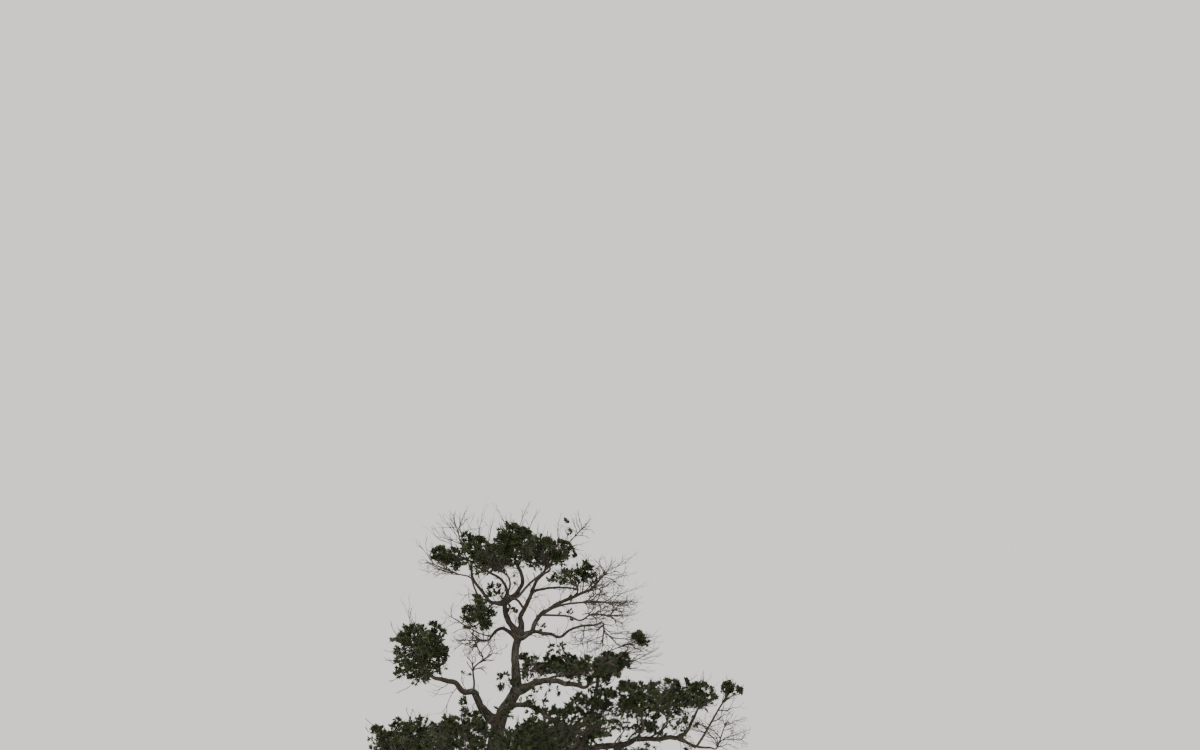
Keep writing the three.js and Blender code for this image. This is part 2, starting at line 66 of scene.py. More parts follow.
studio = {
    "sky": (0.82, 0.80, 0.76), "skyStrength": 1.35,
    "floor": (0.62, 0.60, 0.57), "floorRoughness": 0.9, "floorRadius": 600.0, "floorSides": 96,
    "keyTurn": (52.0, 0.0, 205.0), "keyStrength": 2.2, "keySoftness": 25.0,
    "fillTurn": (60.0, 0.0, -25.0), "fillStrength": 0.7, "fillSoftness": 60.0,
}


def addCamera():
    data = bpy.data.cameras.new("camera")
    data.lens = view["lens"]
    data.sensor_width = view["sensor"]
    data.clip_start = view["near"]
    data.clip_end = view["far"]
    camera = bpy.data.objects.new("camera", data)
    camera.location = view["place"]
    camera.rotation_euler = (math.radians(90 + view["pitch"]), 0, 0)
    bpy.context.scene.collection.objects.link(camera)
    bpy.context.scene.camera = camera


def addSun(name):
    data = bpy.data.lights.new(name, "SUN")
    data.energy = studio[f"{name}Strength"]
    data.angle = math.radians(studio[f"{name}Softness"])
    sun = bpy.data.objects.new(name, data)
    sun.rotation_euler = [math.radians(angle) for angle in studio[f"{name}Turn"]]
    bpy.context.scene.collection.objects.link(sun)


def addStudio():
    world = bpy.data.worlds.new("studio")
    world.use_nodes = True
    sky = world.node_tree.nodes["Background"]
    sky.inputs["Color"].default_value = (*studio["sky"], 1)
    sky.inputs["Strength"].default_value = studio["skyStrength"]
    bpy.context.scene.world = world
    addSun("key")
    addSun("fill")

    bm = bmesh.new()
    bmesh.ops.create_circle(bm, cap_ends=True, segments=studio["floorSides"], radius=studio["floorRadius"])
    floor = newObject("floor", bm)
    paint, shader = newMaterial("floorPaint")
    feed(paint, shader, "Base Color", studio["floor"])
    feed(paint, shader, "Roughness", studio["floorRoughness"])
    floor.data.materials.append(paint)


def newObject(name, bm):
    mesh = bpy.data.meshes.new(name)
    bm.to_mesh(mesh)
    bm.free()
    made = bpy.data.objects.new(name, mesh)
    bpy.context.scene.collection.objects.link(made)
    return made


# Nodes that every material uses

def newMaterial(name):
    material = bpy.data.materials.new(name)
    material.use_nodes = True
    return material, material.node_tree.nodes["Principled BSDF"]


def feed(material, node, name, value):
    # a number, a colour or another node's output, into the node's input of this name
    if isinstance(value, bpy.types.NodeSocket):
        material.node_tree.links.new(value, node.inputs[name])
    elif isinstance(value, (tuple, list)):
        node.inputs[name].default_value = (*value, 1)
    else:
        node.inputs[name].default_value = value


def fed(material, kind, inputs):
    node = material.node_tree.nodes.new(kind)
    for name, value in inputs.items():
        feed(material, node, name, value)
    return node


def mixed(material, factor, first, second, blend="MIX"):
    # the two colours mixed by the factor
    mix = material.node_tree.nodes.new("ShaderNodeMix")
    mix.data_type = "RGBA"
    mix.blend_type = blend
    for name, value in (("Factor", factor), ("A", first), ("B", second)):
        feed(material, mix, name, value)
    return mix.outputs["Result"]


def objectPlace(material):
    return material.node_tree.nodes.new("ShaderNodeTexCoord").outputs["Object"]


def attributeOf(material, name, output):
    attribute = material.node_tree.nodes.new("ShaderNodeAttribute")
    attribute.attribute_name = name
    return attribute.outputs[output]


# The plan of the tree: the places of the trunk's stations, with its radius there

trunkPath = (
    (0.0, 0.0, 0.0, 0.43), (0.0, 0.0, 0.22, 0.345), (0.0, 0.0, 0.6, 0.296), (-0.05, 0.04, 1.6, 0.266),
    (0.0, -0.05, 3.0, 0.246), (0.06, -0.02, 4.3, 0.232), (0.13, 0.01, 5.4, 0.222),
    (0.275, 0.05, 6.04, 0.194), (0.49, 0.05, 6.42, 0.174), (0.66, 0.02, 6.78, 0.17),
    (0.725, -0.03, 7.16, 0.148), (0.668, -0.08, 7.6, 0.126), (0.68, -0.05, 8.03, 0.117),
    (0.78, 0.0, 8.43, 0.112),
)

# Each bough: the limb that it leaves and at what share of the way, its first and last radius,
# and the places that it runs through
boughs = {
    "bough_left": (
        ("trunk", 0.51), (0.126, 0.07), (-0.19, -0.05, 6.06), (-0.46, -0.2, 6.56), (-0.56, -0.28, 6.73),
        (-0.8, -0.42, 6.73), (-1.1, -0.52, 6.95), (-1.52, -0.62, 7.09),
    ),
    "bough_right_low": (
        ("trunk", 0.36), (0.138, 0.066), (0.63, 0.08, 4.38), (1.56, 0.24, 4.81), (2.49, 0.4, 5.04),
        (3.93, 0.58, 5.21), (4.45, 0.58, 5.37), (5.68, 0.46, 5.39),
    ),
    "bough_right_middle": (
        ("trunk", 0.69), (0.116, 0.07), (0.96, -0.05, 6.85), (1.47, -0.25, 7.07), (1.89, -0.5, 7.03),
        (2.55, -0.95, 6.89),
    ),
    "bough_right_arching": (
        ("trunk", 0.565), (0.088, 0.046), (0.67, -0.3, 6.33), (1.37, -0.85, 6.21), (1.85, -1.2, 5.76),
        (2.34, -1.4, 5.53), (3.21, -1.66, 5.4),
    ),
    "bough_front": (
        ("trunk", 0.325), (0.1, 0.05), (0.24, -0.8, 3.73), (0.47, -1.7, 4.18), (0.67, -2.5, 4.57),
    ),
    "bough_back_left": (
        ("trunk", 0.335), (0.09, 0.044), (-0.48, 0.8, 4.1), (-1.13, 1.6, 4.61), (-1.71, 2.2, 5.0),
    ),
    "bough_back": (
        ("trunk", 0.36), (0.096, 0.048), (0.36, 0.9, 4.32), (0.67, 1.9, 4.75), (0.86, 2.7, 5.05),
    ),
    "bough_left_low": (
        ("trunk", 0.375), (0.092, 0.045), (-0.54, -0.1, 4.35), (-1.28, -0.2, 4.67), (-1.99, -0.3, 4.91),
        (-2.56, -0.36, 5.12),
    ),
    "bough_front_left": (("trunk", 0.345), (0.08, 0.042), (-0.33, -0.8, 4.18), (-0.74, -1.5, 4.6)),
    "bough_upper_left": (
        ("trunk", 0.985), (0.096, 0.076), (0.65, -0.05, 8.63), (0.47, -0.1, 8.83), (0.36, -0.12, 9.09),
        (0.35, -0.1, 9.45),
    ),
    "bough_right_upper": (
        ("trunk", 0.985), (0.084, 0.042), (1.19, -0.09, 8.57), (1.4, -0.19, 8.99), (1.84, -0.3, 9.29),
        (2.3, -0.36, 9.53), (2.8, -0.4, 9.71),
    ),
    "bough_upper_middle": (
        ("trunk", 0.985), (0.1, 0.038), (0.84, 0.06, 8.75), (0.85, 0.08, 9.01), (1.05, 0.12, 9.52),
        (1.28, 0.3, 10.07), (1.52, 0.56, 10.34),
    ),
    "bough_right_drooping": (
        ("trunk", 0.98), (0.062, 0.034), (1.2, 0.12, 8.53), (1.68, 0.25, 8.5), (1.98, 0.32, 8.4),
        (2.41, 0.48, 8.68), (3.12, 0.62, 8.8),
    ),
    "bough_left_drooping": (
        ("trunk", 0.98), (0.07, 0.04), (0.54, 0.12, 8.52), (0.29, 0.25, 8.65), (0.08, 0.48, 8.59),
        (-0.09, 0.76, 8.43),
    ),
    "bough_crown_left": (
        ("bough_upper_left", 0.97), (0.066, 0.036), (0.13, -0.2, 9.37), (-0.11, -0.3, 9.44),
        (-0.45, -0.3, 9.87), (-0.6, -0.26, 10.15), (-0.66, -0.3, 10.44),
    ),
    "bough_crown_middle": (
        ("bough_upper_left", 0.97), (0.076, 0.054), (0.57, -0.04, 9.57), (0.78, 0.0, 9.78),
        (0.89, -0.2, 10.04), (0.73, -0.7, 10.5),
    ),
    "bough_crown_inner_left": (
        ("bough_upper_left", 0.98), (0.054, 0.034), (0.4, -0.24, 9.68), (0.35, -0.42, 9.93),
        (0.09, -0.66, 10.17), (-0.26, -0.9, 10.33),
    ),
    "bough_crown_right": (
        ("bough_upper_middle", 0.68), (0.046, 0.028), (1.56, -0.2, 9.82), (1.99, -0.56, 9.82),
        (2.41, -0.9, 9.76),
    ),
    "bough_right_upright": (
        ("bough_right_low", 0.5), (0.082, 0.046), (2.79, 0.3, 5.47), (2.97, 0.16, 6.01), (3.12, 0.06, 6.87),
        (3.16, 0.02, 7.32),
    ),
    "bough_right_low_rise": (
        ("bough_right_low", 0.985), (0.06, 0.036), (5.83, 0.36, 5.63), (5.98, 0.26, 5.91),
        (6.11, 0.18, 6.19),
    ),
    "bough_right_low_end": (
        ("bough_right_low", 0.985), (0.054, 0.032), (5.93, 0.52, 5.21), (6.2, 0.56, 5.12),
        (6.53, 0.6, 5.11),
    ),
}

# Each mass: its centre, its half sizes, how many main shoots the part gives it, and the limb that its stem
# leaves and at what share of the way. A stem that doesn't go on from a limb's tip then has
# its first and last radius, and the places that it runs through.
massPlan = {
    "foliage_left": ((-2.18, -0.6, 7.79), (0.98, 1.55, 1.07), 6, ("bough_left", 1)),
    "foliage_crown_left": ((-1.3, -0.4, 10.73), (0.54, 1.2, 0.39), 5, ("bough_crown_left", 1)),
    "foliage_crown_inner_left": (
        (-0.37, -1.2, 10.71), (0.56, 1.15, 0.56), 4, ("bough_crown_inner_left", 1),
    ),
    "foliage_crown_back_left": (
        (-0.06, 1.6, 10.9), (0.64, 1.2, 0.49), 5, ("bough_upper_middle", 0.49), (0.04, 0.024),
        (0.75, 0.14, 9.48), (0.56, 0.24, 9.59), (0.43, 0.3, 9.72), (0.5, 0.38, 9.97), (0.43, 0.6, 10.26),
        (0.18, 1.0, 10.49),
    ),
    "foliage_crown_front": ((0.61, -1.3, 11.02), (0.71, 1.25, 0.68), 6, ("bough_crown_middle", 1)),
    "foliage_crown_back": ((1.29, 1.3, 11.09), (0.7, 1.35, 0.58), 5, ("bough_upper_middle", 1)),
    "foliage_crown_top_right": (
        (1.96, -0.4, 10.88), (0.6, 1.2, 0.39), 4, ("bough_crown_middle", 0.12), (0.046, 0.028),
        (0.73, -0.12, 9.56), (0.96, -0.16, 9.82), (1.15, -0.14, 10.02), (1.37, -0.12, 10.2),
        (1.58, -0.2, 10.38),
    ),
    "foliage_crown_right": ((2.12, -1.4, 10.07), (0.41, 0.8, 0.27), 4, ("bough_crown_right", 1)),
    "foliage_upper_left": (
        (-0.34, -0.5, 9.02), (0.66, 1.6, 0.6), 4, ("bough_crown_left", 0.28), (0.03, 0.018),
        (-0.06, -0.48, 9.27), (-0.17, -0.76, 9.13),
    ),
    "foliage_middle": (
        (1.38, 1.6, 7.61), (0.7, 1.15, 0.49), 4, ("trunk", 0.8), (0.03, 0.018), (0.92, 0.55, 7.4),
        (1.16, 1.15, 7.48),
    ),
    "foliage_right_middle_front": ((3.12, -1.8, 7.29), (0.88, 1.2, 0.41), 5, ("bough_right_middle", 1)),
    "foliage_right_middle_back": (
        (2.07, 2.2, 7.61), (0.71, 1.2, 0.43), 5, ("bough_right_middle", 0.45), (0.036, 0.022),
        (1.76, 0.25, 7.19), (2.1, 1.15, 7.35),
    ),
    "foliage_right_middle": ((3.6, 0.3, 7.58), (0.6, 1.3, 0.45), 5, ("bough_right_upright", 1)),
    "foliage_right_outer": (
        (4.47, 0.35, 8.34), (0.45, 0.65, 0.27), 3, ("bough_right_upright", 0.95), (0.02, 0.012),
        (3.21, 0.1, 7.8), (3.74, 0.3, 8.08),
    ),
    "foliage_low_front_right": ((3.12, -2.4, 5.53), (0.7, 1.15, 0.38), 5, ("bough_right_arching", 1)),
    "foliage_right_low_rise": ((6.18, 0.1, 6.58), (0.6, 1.2, 0.51), 4, ("bough_right_low_rise", 1)),
    "foliage_far_right": (
        (7.16, 0.38, 6.83), (0.36, 0.5, 0.27), 3, ("bough_right_low_end", 0.55), (0.042, 0.02),
        (6.31, 0.5, 5.45), (6.56, 0.42, 5.88), (6.82, 0.39, 6.33),
    ),
    "foliage_right_low_left": (
        (4.24, -1.4, 6.43), (0.92, 1.5, 0.65), 5, ("bough_right_low", 0.77), (0.034, 0.022),
        (4.5, -0.05, 5.69), (4.42, -0.62, 5.99),
    ),
    "foliage_right_low_right": (
        (5.28, 1.5, 6.65), (0.95, 1.5, 0.7), 5, ("bough_right_low", 0.87), (0.032, 0.02), (5.16, 0.8, 5.72),
        (5.24, 1.15, 6.0),
    ),
    "foliage_right_upright": (
        (3.0, -0.9, 6.28), (0.68, 0.95, 0.53), 4, ("bough_right_upright", 0.45), (0.022, 0.014),
        (3.16, -0.35, 6.22),
    ),
    "foliage_front": ((1.09, -2.8, 4.93), (1.22, 1.6, 0.87), 6, ("bough_front", 1)),
    "foliage_front_left": ((-0.83, -2.1, 5.25), (1.08, 1.5, 0.79), 5, ("bough_front_left", 1)),
    "foliage_back": ((1.51, 2.9, 5.4), (1.36, 1.6, 0.77), 6, ("bough_back", 1)),
    "foliage_back_left": ((-2.06, 2.4, 5.35), (1.23, 1.6, 0.8), 5, ("bough_back_left", 1)),
    "foliage_left_low": ((-2.64, -0.4, 5.15), (1.02, 1.5, 0.78), 5, ("bough_left_low", 1)),
    "foliage_front_right": (
        (3.44, -2.5, 4.3), (1.11, 1.5, 0.55), 5, ("bough_right_low", 0.3), (0.054, 0.032),
        (1.99, -0.6, 4.78), (2.57, -1.4, 4.62),
    ),
    "foliage_back_right": (
        (4.29, 2.7, 4.65), (1.24, 1.6, 0.62), 5, ("bough_right_low", 0.5), (0.05, 0.03), (3.0, 1.1, 4.9),
        (3.5, 1.8, 4.76),
    ),
    "twigs_far_right": ((6.9, 0.65, 5.61), (1.09, 1.0, 0.63), 5, ("bough_right_low_end", 1)),
    "twigs_right_upper": ((3.21, -0.5, 10.06), (0.84, 1.1, 0.72), 4, ("bough_right_upper", 1)),
    "twigs_right_middle": (
        (3.45, 1.5, 9.55), (0.92, 1.1, 0.58), 4, ("bough_right_upper", 0.52), (0.04, 0.022),
        (2.12, 0.2, 9.37), (2.72, 0.7, 9.48),
    ),
    "twigs_right_front": (
        (3.47, -1.7, 8.89), (0.79, 0.95, 0.53), 4, ("bough_right_upper", 0.42), (0.036, 0.02),
        (2.25, -0.45, 8.97), (2.62, -0.8, 8.81), (2.97, -1.1, 8.97),
    ),
    "twigs_right_lower": ((3.3, 1.1, 8.39), (1.09, 1.05, 0.7), 5, ("bough_right_drooping", 1)),
    "twigs_left_inner": (
        (-0.4, -0.4, 7.95), (0.93, 0.9, 0.75), 5, ("bough_left", 0.5), (0.036, 0.018), (-0.54, -0.28, 7.0),
        (-0.56, -0.33, 7.42), (-0.28, -0.36, 7.7),
    ),
    "twigs_left_hanging": ((-0.59, 1.2, 8.37), (0.79, 0.85, 0.52), 4, ("bough_left_drooping", 1)),
    "twigs_upper_left": (
        (-1.17, 0.7, 8.97), (0.42, 0.6, 0.51), 3, ("bough_left_drooping", 0.96), (0.024, 0.014),
        (-0.32, 0.77, 8.51), (-0.62, 0.74, 8.64),
    ),
    "twigs_far_left": (
        (-1.71, 0.0, 10.53), (0.57, 0.7, 0.39), 4, ("bough_crown_left", 0.3), (0.036, 0.014),
        (-0.4, -0.06, 9.57), (-0.58, 0.06, 9.9), (-0.7, 0.12, 10.19), (-1.12, 0.06, 10.29),
    ),
    "twigs_crown_left": (
        (-1.09, 0.3, 11.58), (0.84, 0.9, 0.66), 5, ("bough_crown_left", 0.92), (0.026, 0.016),
        (-0.76, -0.04, 10.65), (-0.91, 0.14, 11.0),
    ),
    "twigs_crown_right": (
        (2.55, 0.3, 11.55), (0.6, 0.85, 0.63), 4, ("bough_upper_middle", 0.9), (0.026, 0.016),
        (1.75, 0.15, 10.62), (2.1, 0.2, 11.05),
    ),
}


def massFrom(name, centre, half, shoots, source, radius=None, *bends):
    return {
        "centre": np.array(centre), "half": np.array(half), "shoots": shoots, "from": source,
        "radius": radius, "bends": bends, "bare": name.startswith("twigs"),
    }


masses = {name: massFrom(name, *row) for name, row in massPlan.items()}
massCentres = np.array([mass["centre"] for mass in masses.values()])
massHalves = np.array([mass["half"] for mass in masses.values()])

limbs = {}  # of the trunk and each bough: its path, and its radius at a share of the way
stems = {}  # the same of each mass's own stem
balls = {}  # balls along every limb and stem, for twigs and leaves to keep clear of


# Curves, sections and numbers by chance, the same as in the part's own growth rule

goldenAngle = math.pi * (3 - math.sqrt(5))
nearlyUpright = 0.95
shortest = 1e-9


def chance(*keys):
    # a fixed number from 0 to 1 for every set of whole numbers, alone or in arrays; the last ones say
    # which draw of a twig's key it is
    mask, start, firstFactor, secondFactor = 0xFFFFFFFF, 2166136261, 16777619, 1540483477
    mixture = start
    for key in keys:
        mixture = ((mixture ^ key) * firstFactor) & mask
        mixture = mixture ^ (mixture >> 13)
        mixture = (mixture * secondFactor) & mask
        mixture = mixture ^ (mixture >> 15)
    return mixture / 2**32


def between(span, share):
    return span[0] + (span[1] - span[0]) * share


def eased(share):
    return share * share * (3 - 2 * share)


def unit(vectors):
    return vectors / np.maximum(np.linalg.norm(vectors, axis=-1, keepdims=True), shortest)


def withEnds(paths):
    # the knots of smooth paths, and one more at both ends of each
    before = 2 * paths[..., :1, :] - paths[..., 1:2, :]
    after = 2 * paths[..., -1:, :] - paths[..., -2:-1, :]
    return np.concatenate([before, paths, after], axis=-2)


def placesOn(shares, spans):
    # the span that each share of the way is in, and how far along the span
    place = np.asarray(shares, float) * spans
    first = np.clip(place.astype(int), 0, spans - 1)
    return first, (place - first)[:, None]


def smoothSpan(a, b, c, d, t):
    leave = 0.5 * (c - a)
    arrive = 0.5 * (d - b)
    return b + leave * t + (3 * (c - b) - 2 * leave - arrive) * t**2 + (2 * (b - c) + leave + arrive) * t**3


def pointsAt(paths, shares):
    # points at these shares of smooth paths, each given by its knots: (..., knots, 3) to (..., shares, 3)
    paths = np.asarray(paths, float)
    first, t = placesOn(shares, paths.shape[-2] - 1)
    knots = withEnds(paths)
    return smoothSpan(*(knots[..., first + k, :] for k in range(4)), t)


def eachAt(paths, shares):
    # the point at its own share of each path (n, knots, 3)
    first, t = placesOn(shares, paths.shape[1] - 1)
    knots = withEnds(paths)
    rows = np.arange(len(paths))
    return smoothSpan(*(knots[rows, first + k] for k in range(4)), t)


def pointOn(path, share):
    return pointsAt(path, [share])[0]


def directionOn(path, share, step=0.01):
    ends = pointsAt(path, [max(share - step, 0), min(share + step, 1)])
    return unit(ends[1] - ends[0])


def lengthOf(paths, parts=24):
    points = pointsAt(paths, np.linspace(0, 1, parts + 1))
    return np.linalg.norm(np.diff(points, axis=-2), axis=-1).sum(axis=-1)


def squareTo(forward):
    # any direction square to each of these
    upright = np.abs(forward[..., 2:]) > nearlyUpright
    return unit(np.cross(forward, np.where(upright, (1.0, 0.0, 0.0), (0.0, 0.0, 1.0))))


def turned(vectors, axes, angles):
    angles = np.asarray(angles)[..., None]
    along = np.sum(axes * vectors, axis=-1, keepdims=True)
    crossed = np.cross(axes, vectors)
    return vectors * np.cos(angles) + crossed * np.sin(angles) + axes * along * (1 - np.cos(angles))


def sectionsAlong(centres):
    # the directions to the side and across at each centre of paths (..., rings, 3),
    # turned as little as can be
    ahead = np.concatenate([centres[..., 1:, :], centres[..., -1:, :]], axis=-2)
    behind = np.concatenate([centres[..., :1, :], centres[..., :-1, :]], axis=-2)
    forward = unit(ahead - behind)
    sides = []
    side = squareTo(forward[..., 0, :])
    for ring in range(centres.shape[-2]):
        here = forward[..., ring, :]
        side = unit(side - here * np.sum(side * here, axis=-1, keepdims=True))
        sides.append(side)
    side = np.stack(sides, axis=-2)
    return side, np.cross(side, forward)


# Limbs: a cylinder with many rings, bent along its path, with the bark's relief and shade painted into its
# furrows

bark = {
    "seed": 1, "ring": 0.022, "smallRing": 0.014, "thickLimb": 0.1, "chord": 0.013, "fewestSides": 18,
    "widestCounted": 0.3, "radiusSamples": 9, "lengthParts": 200, "pathParts": 2000,
    "furrowWidth": 0.055, "furrowLength": 0.26, "furrowDepth": 0.017, "furrowEdge": 0.26,
    "windings": 0.5, "windingSize": 0.7, "crackShare": 0.4, "crackSize": 2.3, "crackShift": (7.0, 3.0, 5.0),
    "plainRadius": 0.25, "finest": 0.16, "finer": 0.6, "fullDepth": 0.05, "apart": 10.0,
    "lumpSize": 0.4, "lumpDepth": 0.08,
    "wander": 0.9, "widestWander": 0.07, "wanderLength": 0.38, "wanderFrom": 0.08, "wanderFade": 0.25,
    "thickWander": 2, "collar": 0.55, "collarReach": 2.2,
    "flareLobes": 5, "flareDepth": 0.17, "flareHeight": 0.42, "flareTurn": 0.6,
    # the ridge and lichen colours are the bark's own; the near-black colour in the furrows is painted shade
    "ridge": (0.115, 0.097, 0.078), "furrowShade": (0.022, 0.018, 0.014), "lichen": (0.17, 0.165, 0.14),
    "lichenSize": 3.2, "lichenDetail": 6, "lichenEdges": (0.5, 0.68),
    "grainSize": 90.0, "grainDetail": 8, "grainRoughness": 0.65, "mottle": 0.6,
    "roughness": 0.88, "gloss": 0.2, "bump": 0.5, "bumpDepth": 0.004,
}


def trunkRadius(shares):
    return np.interp(shares, np.linspace(0, 1, len(trunkPath)), [station[3] for station in trunkPath])


def taper(radius):
    return lambda shares: radius[0] + (radius[1] - radius[0]) * np.asarray(shares)


def planLimbs():
    limbs["trunk"] = {"path": np.array([station[:3] for station in trunkPath]), "radius": trunkRadius}
    for name, ((parent, share), radius, *path) in boughs.items():
        start = pointOn(limbs[parent]["path"], share)
        seat = float(limbs[parent]["radius"](share))
        limbs[name] = {"path": np.array([start, *path]), "radius": taper(radius), "seat": seat}


def manyRings(sides, rings):
    # an upright cylinder, with the ring and the angle of each of its corners
    bm = bmesh.new()
    bmesh.ops.create_cone(bm, cap_ends=True, segments=sides, radius1=1, radius2=1, depth=1)
    lengthways = [edge for edge in bm.edges if abs(edge.verts[0].co.z - edge.verts[1].co.z) > 0.5]
    bmesh.ops.subdivide_edges(bm, edges=lengthways, cuts=rings - 1, use_grid_fill=False)
    places = np.array([vert.co for vert in bm.verts])
    ringOf = np.rint((places[:, 2] + 0.5) * rings).astype(int)
    return bm, ringOf, np.arctan2(places[:, 1], places[:, 0])


def ringsOf(name, limb, widest, rings):
    # the rings of a limb, evenly spaced: how far along each is, its centre and its radius
    fine = np.linspace(0, 1, bark["pathParts"] + 1)
    steps = np.linalg.norm(np.diff(pointsAt(limb["path"], fine), axis=0), axis=1)
    run = np.concatenate([[0], np.cumsum(steps)])
    runs = np.linspace(0, run[-1], rings + 1)
    shares = np.interp(runs, run, fine)
    radii = limb["radius"](shares)
    # the limb wanders a little about its path, away from its ends and the trunk's foot
    thicker = bark["thickWander"] * np.maximum(widest - bark["thickLimb"], 0)
    inward = np.minimum(runs, run[-1] - runs) - bark["wanderFrom"] - thicker
    fade = eased(np.clip(inward / bark["wanderFade"], 0, 1))
    fade = fade * bark["wander"] * np.minimum(radii, bark["widestWander"])
    wander = [noise.noise_vector(Vector((0.0, len(name), place / bark["wanderLength"]))) for place in runs]
    centres = pointsAt(limb["path"], shares) + np.array(wander) * fade[:, None]
    if "seat" in limb:
        past = np.maximum(np.linalg.norm(centres - centres[0], axis=1) - limb["seat"], 0)
        radii = radii * (1 + bark["collar"] * np.exp(-((past / (bark["collarReach"] * radii[0])) ** 2)))
    return runs, centres, radii


def furrowAt(place):
    # 0 on a ridge of the bark to 1 at the bottom of the furrows: how far the bark sinks there, and how much
    # shade is painted into its colour
    bent = place + noise.noise_vector(place * bark["windingSize"]) * bark["windings"]
    deep = abs(noise.noise(bent))
    crack = abs(noise.noise(bent * bark["crackSize"] + Vector(bark["crackShift"])))
    wide = max(0.0, 1 - deep / bark["furrowEdge"])
    fine = max(0.0, 1 - crack / bark["furrowEdge"])
    return min(1.0, eased(wide) + bark["crackShare"] * fine * fine)


def limbMesh(name, limb):
    widest = float(np.max(limb["radius"](np.linspace(0, 1, bark["radiusSamples"]))))
    ringStep = between((bark["smallRing"], bark["ring"]), min(1.0, widest / bark["thickLimb"]))
    sides = int(2 * math.pi * min(widest, bark["widestCounted"]) / bark["chord"])
    rings = int(float(lengthOf(limb["path"], bark["lengthParts"])) / ringStep)
    bm, ringOf, angle = manyRings(max(bark["fewestSides"], sides), rings)
    runs, centres, radii = ringsOf(name, limb, widest, rings)
    side, across = sectionsAlong(centres)
    out = side[ringOf] * np.cos(angle)[:, None] + across[ringOf] * np.sin(angle)[:, None]
    reach = radii[ringOf].copy()
    if name == "trunk":
        fade = np.exp(-((centres[ringOf, 2] / bark["flareHeight"]) ** 2))
        reach *= 1 + bark["flareDepth"] * fade * np.cos(bark["flareLobes"] * angle + bark["flareTurn"])

    # bark space runs round the limb and along it, with no seam, and is finer where the limb is thinner
    size = np.clip(radii / bark["plainRadius"], bark["finest"], 1) ** bark["finer"]
    along = np.concatenate([[0], np.cumsum(2 * np.diff(runs) / (size[1:] + size[:-1]))])
    around = reach / size[ringOf]
    barkPlace = np.column_stack([around * np.cos(angle), around * np.sin(angle), along[ringOf]])
    shift = Vector((0.0, 0.0, bark["apart"] * len(bpy.data.meshes)))
    furrows = np.empty(len(angle))
    lumps = np.empty(len(angle))
    for i, place in enumerate(barkPlace):
        where = Vector((place[0], place[1], place[2] * bark["furrowWidth"] / bark["furrowLength"]))
        furrows[i] = furrowAt((where + shift) / bark["furrowWidth"])
        lumps[i] = noise.noise((Vector(place) + shift) / bark["lumpSize"])
    reach += lumps * bark["lumpDepth"] * radii[ringOf]
    reach -= furrows * bark["furrowDepth"] * size[ringOf] * np.minimum(1, reach / bark["fullDepth"])

    # each corner's depth in the furrows, which sets the shade painted into the bark's colour
    furrowShadeLayer = bm.verts.layers.float.new("furrowShade")
    placeLayer = bm.verts.layers.float_vector.new("barkPlace")
    points = centres[ringOf] + out * reach[:, None]
    for vert, point, furrowShade, place in zip(bm.verts, points, furrows, barkPlace):
        vert.co = point
        vert[furrowShadeLayer] = furrowShade
        vert[placeLayer] = Vector(place)
    bmesh.ops.recalc_face_normals(bm, faces=bm.faces)
    for face in bm.faces:
        face.smooth = len(face.verts) == 4
    bmesh.ops.triangulate(bm, faces=[face for face in bm.faces if len(face.verts) > 4])
    return newObject(f"{name}_bark", bm)


def barkMaterial():
    material, shader = newMaterial("bark")
    patches = fed(material, "ShaderNodeTexNoise", {
        "Vector": objectPlace(material), "Scale": bark["lichenSize"], "Detail": bark["lichenDetail"],
    })
    patchy = fed(material, "ShaderNodeValToRGB", {"Fac": patches.outputs["Fac"]})
    for element, edge in zip(patchy.color_ramp.elements, bark["lichenEdges"]):
        element.position = edge
    grain = fed(material, "ShaderNodeTexNoise", {
        "Vector": attributeOf(material, "barkPlace", "Vector"), "Scale": bark["grainSize"],
        "Detail": bark["grainDetail"], "Roughness": bark["grainRoughness"],
    }).outputs["Fac"]
    plates = mixed(material, patchy.outputs["Color"], bark["ridge"], bark["lichen"])
    mottled = mixed(material, bark["mottle"], plates, grain, "MULTIPLY")
    # painted shade: the bark's colour darkens to near black towards the bottom of the furrows
    shadedInFurrows = mixed(material, attributeOf(material, "furrowShade", "Fac"), mottled, bark["furrowShade"])
    bump = fed(material, "ShaderNodeBump", {
        "Strength": bark["bump"], "Distance": bark["bumpDepth"], "Height": grain,
    })
    feed(material, shader, "Base Color", shadedInFurrows)
    feed(material, shader, "Roughness", bark["roughness"])
    feed(material, shader, "Specular IOR Level", bark["gloss"])
    feed(material, shader, "Normal", bump.outputs["Normal"])
    return material


def addLimbs():
    # without a seed of its own the noise takes one from the clock, and the bark differs in every run
    noise.seed_set(bark["seed"])
    material = barkMaterial()
    for name, limb in limbs.items():
        piece = limbMesh(name, limb)
        piece.data.materials.append(material)
        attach(piece, body)
        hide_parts(name)
        print("limb", name, len(piece.data.polygons))


# Stems and shoots of the masses: the part's growth rule, carried on to finer twigs

growth = {
    "onward": 0.3, "lead": 0.35, "fit": 0.94, "stemTaper": 0.45, "inner": 0.7, "latest": 0.985,
    "lowest": 0.35, "latestShoot": 0.97, "search": 0.05, "sweep": 0.12, "bow": 0.14, "thickest": 0.018,
    "thickestBare": 0.026, "highest": 0.94, "reach": (0.92, 1.0), "turns": 7, "turn": 0.7,
    "shorter": 0.03, "overstep": 1.01, "tested": (0.5, 0.75, 1.0), "clearance": 0.012,
    "moreLeafy": 4.5, "moreBare": 2.6, "moreReach": (0.6, 1.0), "mainRings": 9, "mainSides": 5,
    "mainTip": 0.4, "crook": 0.05, "crookBare": 0.07, "knotShares": (0, 0.25, 0.5, 0.75, 1),
    "stemRings": 18, "stemSides": 9, "twigSides": 3, "step": 0.02, "longest": 1.25, "shorterOut": 0.6,
    "shorterTurn": 0.08, "run": 0.5, "runParts": 100, "thickestRun": 0.13, "outside": 0.97,
    "beyondBox": 0.2, "tie": 1e-6, "ballStep": 0.04, "ballParts": 60,
    "nearMass": 1.5, "nearBough": 4, "nearShoot": 1.5,
}

